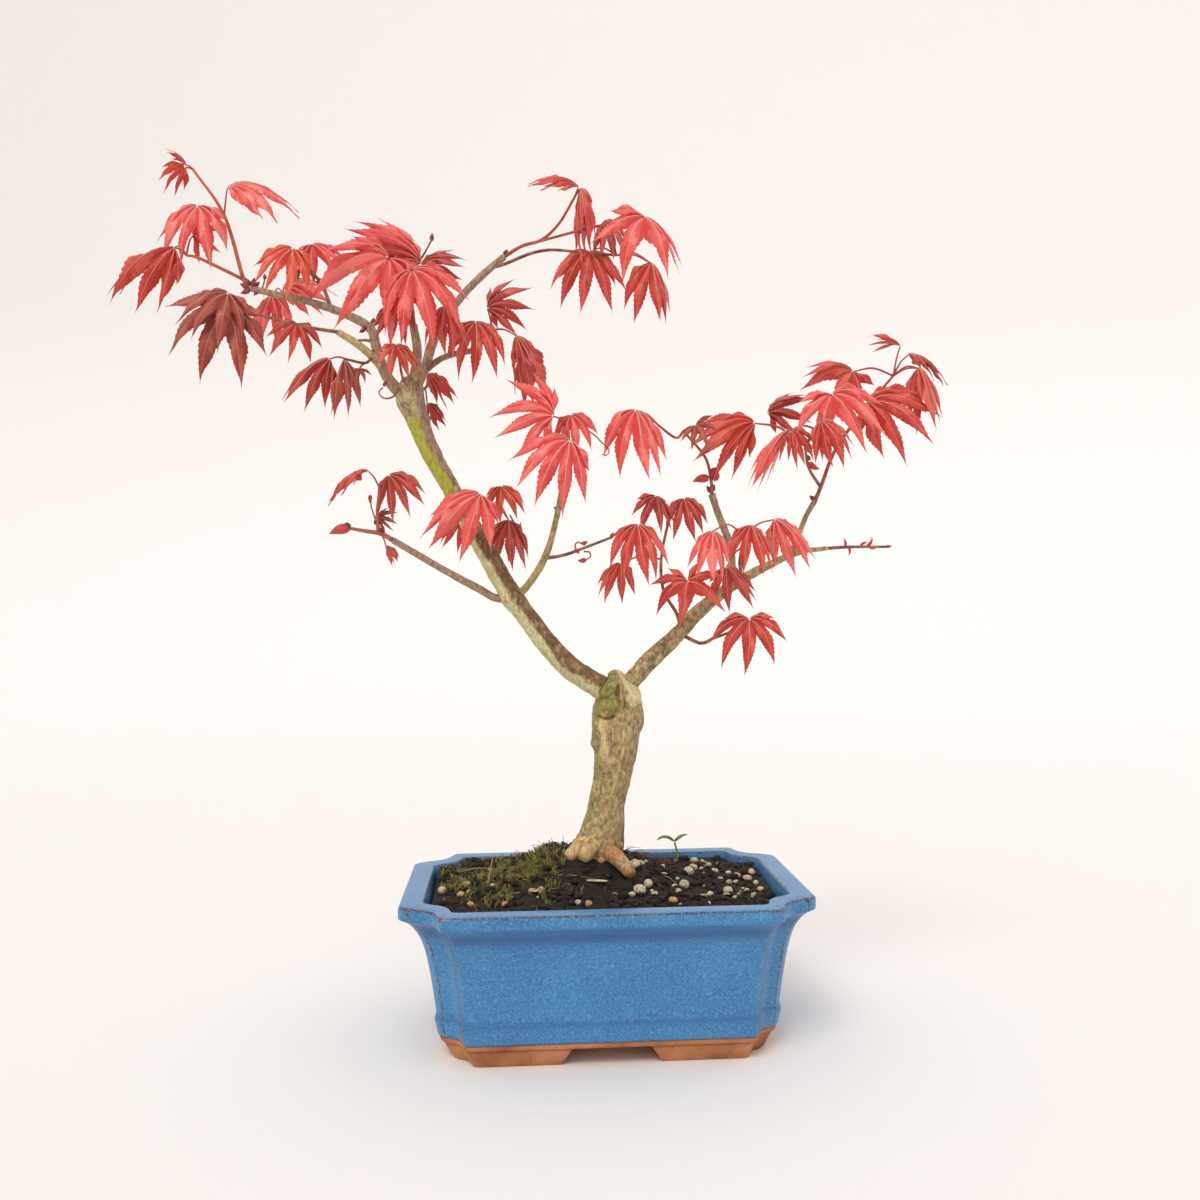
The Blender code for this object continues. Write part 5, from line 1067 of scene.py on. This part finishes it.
def addLeaf(gathered, ribs, leaf, base, tone, draw):
    # Each face takes the deep, middle or light shade of the leaf's tone, by noise drawn out along its half
    # lobe: painted light and shade, as on a folded leaf, with painted shade towards the tips and in the
    # creases where the lobes meet near the stalk.
    points, skin, centre, s, x, length = leafSurface(leaf, base, draw)
    lobes, rows, columns = points.shape[:3]
    faces = gridFaces(rows, columns, closed=False)
    t = np.array(leafForm["across"], float)
    tMid, sMid, xMid = ((values[1:] + values[:-1]) / 2 for values in (t, s, x))
    sides, tMid = np.sign(tMid), np.abs(tMid)
    spot = draw.uniform(0, 900)
    lighter = [draw.uniform(-leafForm["lobeShades"], leafForm["lobeShades"]) for _ in range(lobes)]
    dark, light = leafForm["shadeSteps"]
    veined = sMid[:, None] * length / leafForm["shadeStep"] - 0.9 * tMid
    for lobe in range(lobes):
        along, aside = points[lobe, 4, 3] - points[lobe, 1, 3], points[lobe, 3, -1] - points[lobe, 3, 0]
        upward = np.cross(aside, along) @ skin[0, 3]
        upper, lower = (faces[:, ::-1], faces) if upward < 0 else (faces, faces[:, ::-1])
        places = np.stack(np.broadcast_arrays(veined, lobe * 5.3 + sides * 1.9, spot), axis=-1)
        # painted light and shade: each half lobe takes its own shade by noise, as on a fold, and is darker
        # towards the tip
        value = 0.5 * wander(places, 1.0, 5) - 0.5 * smoothStep(0.7, 1.0, xMid)[:, None] + lighter[lobe]
        # painted shade in the creases where neighbouring lobes meet near the stalk
        value = value - 0.5 * smoothStep(0.35, 0.9, tMid) * smoothStep(0.25, 0.0, xMid)[:, None]
        shade = (tone * 3 + (value > dark) + (value > light)).ravel()
        gathered.add((points[lobe] + skin).reshape(-1, 3), [upper], shade)
        gathered.add((points[lobe] - skin).reshape(-1, 3), [lower], np.maximum(shade - 1, tone * 3))
        rib = centre[lobe][::2] + skin[::2, 3] * 1.1
        size = leafForm["rib"] / 2 * (1 - 0.8 * np.linspace(0, 1, len(rib))) * min(1.0, length / 30)
        ribs.add(*tubeSurface(rib, size + 0.02, 3), finish=tone)


def backTwin(leaf, draw):  # the opposite leaf of a pair: behind the first one, a little smaller
    x, z, y, length, *lobes, turn, tone = leaf
    return (x, z, y + draw.uniform(*backLeaf["depth"]), length * backLeaf["scale"], *lobes, -turn, tone)


def inRoom(points, room):  # every point, slid back to the elevation, lies in one of the boxes
    x, y, z = points.T
    reach = (sightLine["distance"] + y) / sightLine["distance"]
    drawn = np.stack([x / reach, y, z / reach + sightLine["eyeInDrawing"]], axis=-1)
    low, high = np.array(room)[:, None, :, 0], np.array(room)[:, None, :, 1]
    return ((drawn >= low) & (drawn <= high)).all(axis=2).any(axis=0).all()


tones = {  # the blade's deep, middle and light shade, painted light and shade of one colour, and its ribs
    "coral": ("#E04A46", "#F0605A", "#FA8078", "#FCB4A8"),
    "rose": ("#D8403F", "#E8544F", "#F4716A", "#F8AA9E"),
    "red": ("#C2342B", "#D4463B", "#E2604F", "#EE9A86"),
    "orange": ("#D8452E", "#E85A3F", "#F0765A", "#F8A588"),
    "crimson": ("#A82E28", "#BA3E34", "#CA5144", "#DC8F7C"),
    "brick": ("#9A3A2C", "#AC4A3A", "#BC5C4A", "#D09480")}


def leafFinish(name, colour):  # thin and waxy above: a soft shine, and its colour plain
    return newFinish(name, Base_Color=colour, Roughness=0.4, Sheen_Weight=0.1, Sheen_Tint="#FFE8E4")


bladeFinishes, ribFinishes = [], []
for tone, colours in tones.items():
    bladeFinishes += [leafFinish(f"Maple blade {tone} {word}", colour)
                      for word, colour in zip(("deep", "middle", "light"), colours)]
    ribFinishes.append(leafFinish(f"Maple rib {tone}", colours[3]))
twigFinish = grainy(newFinish("Young maple twig", Roughness=0.6), 260.0, 4.0,
                    [(0.3, "#6B3A2A"), (0.5, "#96604A"), (0.7, "#B98A68")],
                    [("young", (0, "#D8603C"), (1, "#D8603C"))])
youngShoots = {  # how red the twigs of a mass are
    "mass_far_left": 0.9, "mass_top_right_upper": 0.6, "mass_low_left": 0.5, "mass_far_right": 0.2,
    "mass_mid_right": 0.35}

groups = {side: {"blades": Gathered(), "ribs": Gathered(), "nodes": []}
          for side in ("Left", "Middle", "Right")}
twigs, stalks = Gathered(), Gathered()
for name, (meets, twig, room, stem, shown) in masses.items():
    draw = random.Random(seed + sum(map(ord, name)))
    stems = [slid(np.array(path, float)) for path in stem]
    line = curveThrough(placedLine(limbs[meets]))[:, :3]
    stems[0][0] = line[np.argmin(np.linalg.norm(line - stems[0][0], axis=1))]
    for k, path in enumerate(stems):
        wide = twig * (1 if k == 0 else 0.75)
        diameters = np.linspace(wide, max(1.3, wide * 0.55), len(path))
        rows = curveThrough(np.hstack([path, diameters[:, None]]), 2.0)
        young = youngShoots.get(name, 0.0) * np.repeat(np.linspace(0.5, 1.0, len(rows)), 8)
        twigs.add(*tubeSurface(rows[:, :3], rows[:, 3] / 2, 8), fields={"young": young})
    twins = [backTwin(leaf, draw) for leaf in shown
             if leaf[3] >= backLeaf["from"] and draw.random() < backLeaf["share"]]
    x = np.mean([path[-1][0] for path in stems])
    group = groups["Left" if x < -100 else "Middle" if x < 25 else "Right"]
    group["nodes"].append(name)
    nodes = np.vstack([path[1:] for path in stems])
    for leaf in shown + twins:
        base = slid(np.array(leaf[:3], float))
        tips = base + lobeDirections(leaf, np.linspace(-1, 1, 7)) * leaf[3]
        if leaf in twins and not inRoom(tips, room):
            continue
        start = nodes[np.argmin(np.linalg.norm(nodes - base, axis=1))]
        rise = np.array([0, 0, leafForm["stalkRise"] * np.linalg.norm(base - start)])
        rows = curveThrough([start, start + (base - start) * 0.5 + rise, base], 1.5)
        stalks.add(*tubeSurface(rows, leafForm["stalk"] / 2 * np.linspace(1.1, 0.75, len(rows)), 6))
        addLeaf(group["blades"], group["ribs"], leaf, base, list(tones).index(leaf[8]), draw)
for name, group in groups.items():
    dress(group["blades"].piece("leafBlades" + name, bladeFinishes, planted), "maple_leaf", *group["nodes"])
    dress(group["ribs"].piece("leafRibs" + name, ribFinishes, planted), "maple_leaf")

shoots = [  # side twiglets and stalks: both diameters, then x, z, depth along each
    [2.4, 1.8, (-118.5, 352.5, -8), (-113, 356, -10), (-107, 359.5, -12)], [0.9, 0.7, (-174, 372, 7),
    (-172.5, 377.5, 6)], [1.8, 1.2, (-116, 345, -10), (-121, 345.8, -12), (-125.5, 345.4, -13)], [1.8, 1.3,
    (-113.5, 339.5, -10), (-117.6, 340.2, -13)], [1.2, 0.8, (-98.6, 379, -44), (-92, 388, -45),
    (-86.6, 397.5, -46)], [1.1, 0.7, (-103, 320.5, -18), (-107, 316.4, -21), (-111.6, 316, -22),
    (-113.8, 319, -22), (-111.8, 321.5, -21)], [1.0, 0.7, (-160, 369, 3), (-160.8, 375, 1),
    (-158.5, 380, 0)], [1.4, 1.0, (-146, 377.5, -5), (-141, 376.5, -5)], [0.9, 0.6, (-46.5, 256, 17),
    (-43, 250, 17), (-41.2, 249.3, 17), (-40.8, 252, 17)], [0.9, 0.6, (-16.5, 300, -36), (-9, 300.3, -31),
    (-3.5, 297.5, -27), (1, 293, -25), (4.6, 289.5, -24), (3.6, 286.6, -24), (1.1, 287, -24)], [1.0, 0.8,
    (-10.8, 236.2, -17), (-12.8, 239, -17), (-12, 241.6, -17), (-9.6, 241.2, -17)], [1.0, 0.7,
    (-8.4, 237, -17), (-5.4, 236.6, -17), (-5, 234.2, -16), (-7.2, 232.8, -16)], [1.4, 0.6, (60.4, 192.8, 1),
    (60.2, 195.8, 0)], [0.9, 0.7, (-114.2, 250, -12.5), (-117.5, 259, -14), (-118.2, 266, -15)]]
buds = [  # x, z, depth, direction, length, width, how red and how curled
    (-180.4, 372.5, 8, 155, 6.5, 3.4, 0.2, 0), (-180.2, 373.5, 8.5, 118, 6.0, 3.2, 0.3, 0),
    (-179, 373.5, 6.5, 75, 5.5, 3.0, 0.1, 0), (-180.4, 371.5, 7, -160, 6.0, 3.0, 0.2, 0),
    (-176, 371.8, 7, -125, 4.5, 2.6, 0.4, 0), (-178, 373.4, 10, 40, 4.5, 2.6, 0.1, 0),
    (-172.5, 377.2, 6, 95, 3.4, 2.0, 0.0, 0), (-154.6, 384, -8, -98, 10.0, 1.7, -1.0, 0),
    (-143, 374.8, -4, 160, 4.2, 3.0, 0.1, 0), (-142.4, 375.4, -3, 60, 4.0, 2.8, 0.2, 0),
    (-141, 376.5, -5, 10, 3.6, 2.4, 0.1, 0), (-107.4, 359.4, -12, 60, 4.6, 2.6, 0.1, 0),
    (-107.2, 359.2, -12, 5, 4.6, 2.6, 0.2, 0), (-109, 358.4, -12, 110, 3.8, 2.2, 0.1, 0),
    (-86.7, 397, -46, 85, 4.4, 2.2, 0.0, 0), (-119, 352, -9, 170, 4.2, 2.8, 0.1, 0),
    (-117, 354, -7, 80, 4.0, 2.8, 0.0, 0), (-121, 351.5, -11, -150, 4.0, 2.4, 0.3, 0),
    (-96.2, 354.4, -22, 120, 4.4, 2.8, 0.1, 0), (-49.3, 389.6, 8.5, 60, 4.0, 2.6, 0.1, 0),
    (-9.6, 241.2, -17, -20, 4.2, 2.2, 1.0, 1), (-7.2, 232.8, -16, -150, 5.0, 2.6, 1.0, -0.6),
    (-10.8, 236.4, -17, 150, 3.4, 1.8, 0.6, 0), (57.5, 267.5, 12.8, 130, 5.0, 3.0, 0.3, 0),
    (57.6, 268, 12.6, 70, 4.6, 3.0, 0.2, 0), (58.3, 274, 10, 30, 6.5, 4.2, 1.0, 1),
    (58, 276, 9.6, 100, 6.0, 4.4, 1.0, -1), (56, 274.5, 9, 165, 10.0, 4.6, 1.0, 0.6),
    (108, 284, 16, 130, 4.8, 2.8, 0.2, 0), (107.4, 288, 14, 70, 5.0, 2.8, 0.3, 0),
    (106.5, 290, 13, 100, 4.8, 2.6, 0.1, 0), (108, 283, 16, -75, 8.0, 3.4, 1.0, 1),
    (110.5, 263.5, 24, 140, 4.2, 2.8, 0.2, 0), (126, 239.3, 20.5, 55, 6.0, 1.5, 1.0, 1),
    (128, 239.2, 20.6, -50, 5.5, 1.5, 1.0, -1), (134, 239.6, 21, 70, 5.5, 1.5, 1.0, -1),
    (137, 239.5, 21, 15, 8.0, 1.8, 1.0, 1), (138.5, 239.4, 21, -40, 6.0, 1.6, 1.0, 1),
    (147, 239.4, 21.5, 5, 4.0, 1.8, 0.4, 0), (103.5, 237, 19, 95, 3.6, 2.2, 0.2, 0),
    (60.2, 195.6, 0, 85, 3.0, 1.5, 0.1, 0), (66.3, 195, -2, 10, 3.4, 2.2, 0.3, 0),
    (-129, 249, -14, 178, 12.5, 5.4, 1.0, 0.4), (-128.6, 249.6, -14, 140, 4.0, 2.6, 0.1, 0),
    (-114.5, 250.5, -12, 100, 5.0, 3.6, 0.0, 0), (-118.2, 266, -15, -95, 4.8, 2.2, 0.7, 0),
    (-113, 246.5, -12, 70, 4.0, 3.0, 0.0, 0), (-111.5, 322, -21, 60, 4.0, 2.0, 0.6, 0),
    (-21.5, 258.5, -20, 150, 3.2, 2.0, 0.2, 0), (-17.4, 291, -33, 20, 3.6, 2.2, 0.4, 0),
    (5.5, 244.3, -22, 60, 3.4, 1.8, 0.6, 0)]
budFinish = grainy(newFinish("Bud scales", Roughness=0.5), 600.0, 3.0,
                   [(0.32, "#3E1E1C"), (0.5, "#7A3230"), (0.7, "#A8605A")],
                   [("red", (0, "#B02A2C"), (1, "#DE5A54")), ("olive", (0, "#5C5A2C"), (1, "#8C8846"))])
budPiece = Gathered()
for x, z, depth, way, long, wide, red, curl in buds:
    # swollen near its foot and drawn out to a point, and bent to one side by the curl
    t = np.linspace(0, 1, 7)
    bent = np.radians(way + 75 * curl * t)
    path = np.column_stack([np.cumsum(np.cos(bent)), 0.9 * t * curl, np.cumsum(np.sin(bent))]) * long / 7
    path = slid(np.array([x, z, depth], float)) + path - path[0]
    radii = wide / 2 * np.array([0.55, 0.9, 1.0, 0.92, 0.7, 0.4, 0.08])
    budPiece.add(*tubeSurface(path, radii, 8), fields={"red": max(red, 0.0), "olive": max(-red, 0.0)})
for wide, narrow, *path in shoots:
    rows = curveThrough(slid(path))
    young = 0.6 if wide == 1.0 else 0.0
    twigs.add(*tubeSurface(rows, np.linspace(wide, narrow, len(rows)) / 2, 7), fields={"young": young})
dress(budPiece.piece("budsAndSprouts", [budFinish], planted), "young_bark")
dress(twigs.piece("youngTwigs", [twigFinish], planted), "young_bark")
dress(stalks.piece("leafStalks", [leafFinish("Leaf stalk", "#B8433C")], planted), "maple_leaf")
print("foliage done")


# Floor, light and camera

stage = {"radius": 2.4, "wallRise": 1.2, "sweep": 0.9, "colour": "#F8F6F5", "sides": 96}
turns = np.radians(np.linspace(0, 90, 17)[1:])
flatEnd, sweep = stage["radius"] - stage["sweep"], stage["sweep"]
profile = [(0.5, 0.0), (flatEnd, 0.0)]
profile += [(flatEnd + sweep * math.sin(turn), sweep * (1 - math.cos(turn))) for turn in turns]
profile = np.array(profile + [(stage["radius"], sweep + stage["wallRise"])])[:, None]
rings = np.concatenate([profile[..., :1] * circle(stage["sides"]),
                        np.broadcast_to(profile[..., 1:], (len(profile), stage["sides"], 1))], axis=-1)
floorSurface = Gathered()
floorSurface.add(rings.reshape(-1, 3) / mm,
                 [gridFaces(len(profile), stage["sides"])[:, ::-1], np.arange(stage["sides"])[None]])
paper = newFinish("Studio paper", Base_Color=stage["colour"], Roughness=0.9)
floorSurface.piece("studioFloor", [paper], lambda points: points)

scene = bpy.context.scene
scene.view_settings.view_transform = "Standard"  # plain colours, with a near-white paper
scene.world = bpy.data.worlds.new("softStudio")
scene.world.use_nodes = True
sky = scene.world.node_tree.nodes["Background"].inputs
sky["Color"].default_value, sky["Strength"].default_value = linear("#FFFCF9"), 0.8

lamps = {  # kind, place and target in metres, size in metres or spread in degrees, power and colour
    "keySun": ("SUN", (-0.5, -0.95, 1.4), (0.0, 0.0, 0.0), 25.0, 0.96, "#FFFBF7"),
    "edgePanel": ("AREA", (-0.35, -1.3, 1.0), (0.0, 0.0, 0.1), 0.5, 0.9, "#FFFFFF")}
for name, (kind, place, target, size, power, colour) in lamps.items():
    lamp = bpy.data.lights.new(name, kind)
    lamp.energy, lamp.color = power, linear(colour)[:3]
    if kind == "SUN":
        lamp.angle = math.radians(size)
    else:
        lamp.size = size
    obj = bpy.data.objects.new(name, lamp)
    scene.collection.objects.link(obj)
    away = np.array(target) - place
    obj.location = place
    obj.rotation_euler = (math.acos(-away[2] / np.linalg.norm(away)), 0.0, math.atan2(-away[0], away[1]))

view = bpy.data.cameras.new("frontView")
view.lens, view.sensor_width, view.clip_start = 36.3, 36.0, 0.02
camera = bpy.data.objects.new("frontView", view)
scene.collection.objects.link(camera)
turn = math.radians(sightLine["turn"])
away = np.array([math.sin(turn), -math.cos(turn)]) * sightLine["distance"]
camera.location = (*(potAxis[:2] + away) * mm, sightLine["eyeHeight"] * mm)
camera.rotation_euler = (math.radians(90.0), math.radians(sightLine["lean"]), turn)
bpy.context.scene.camera = camera
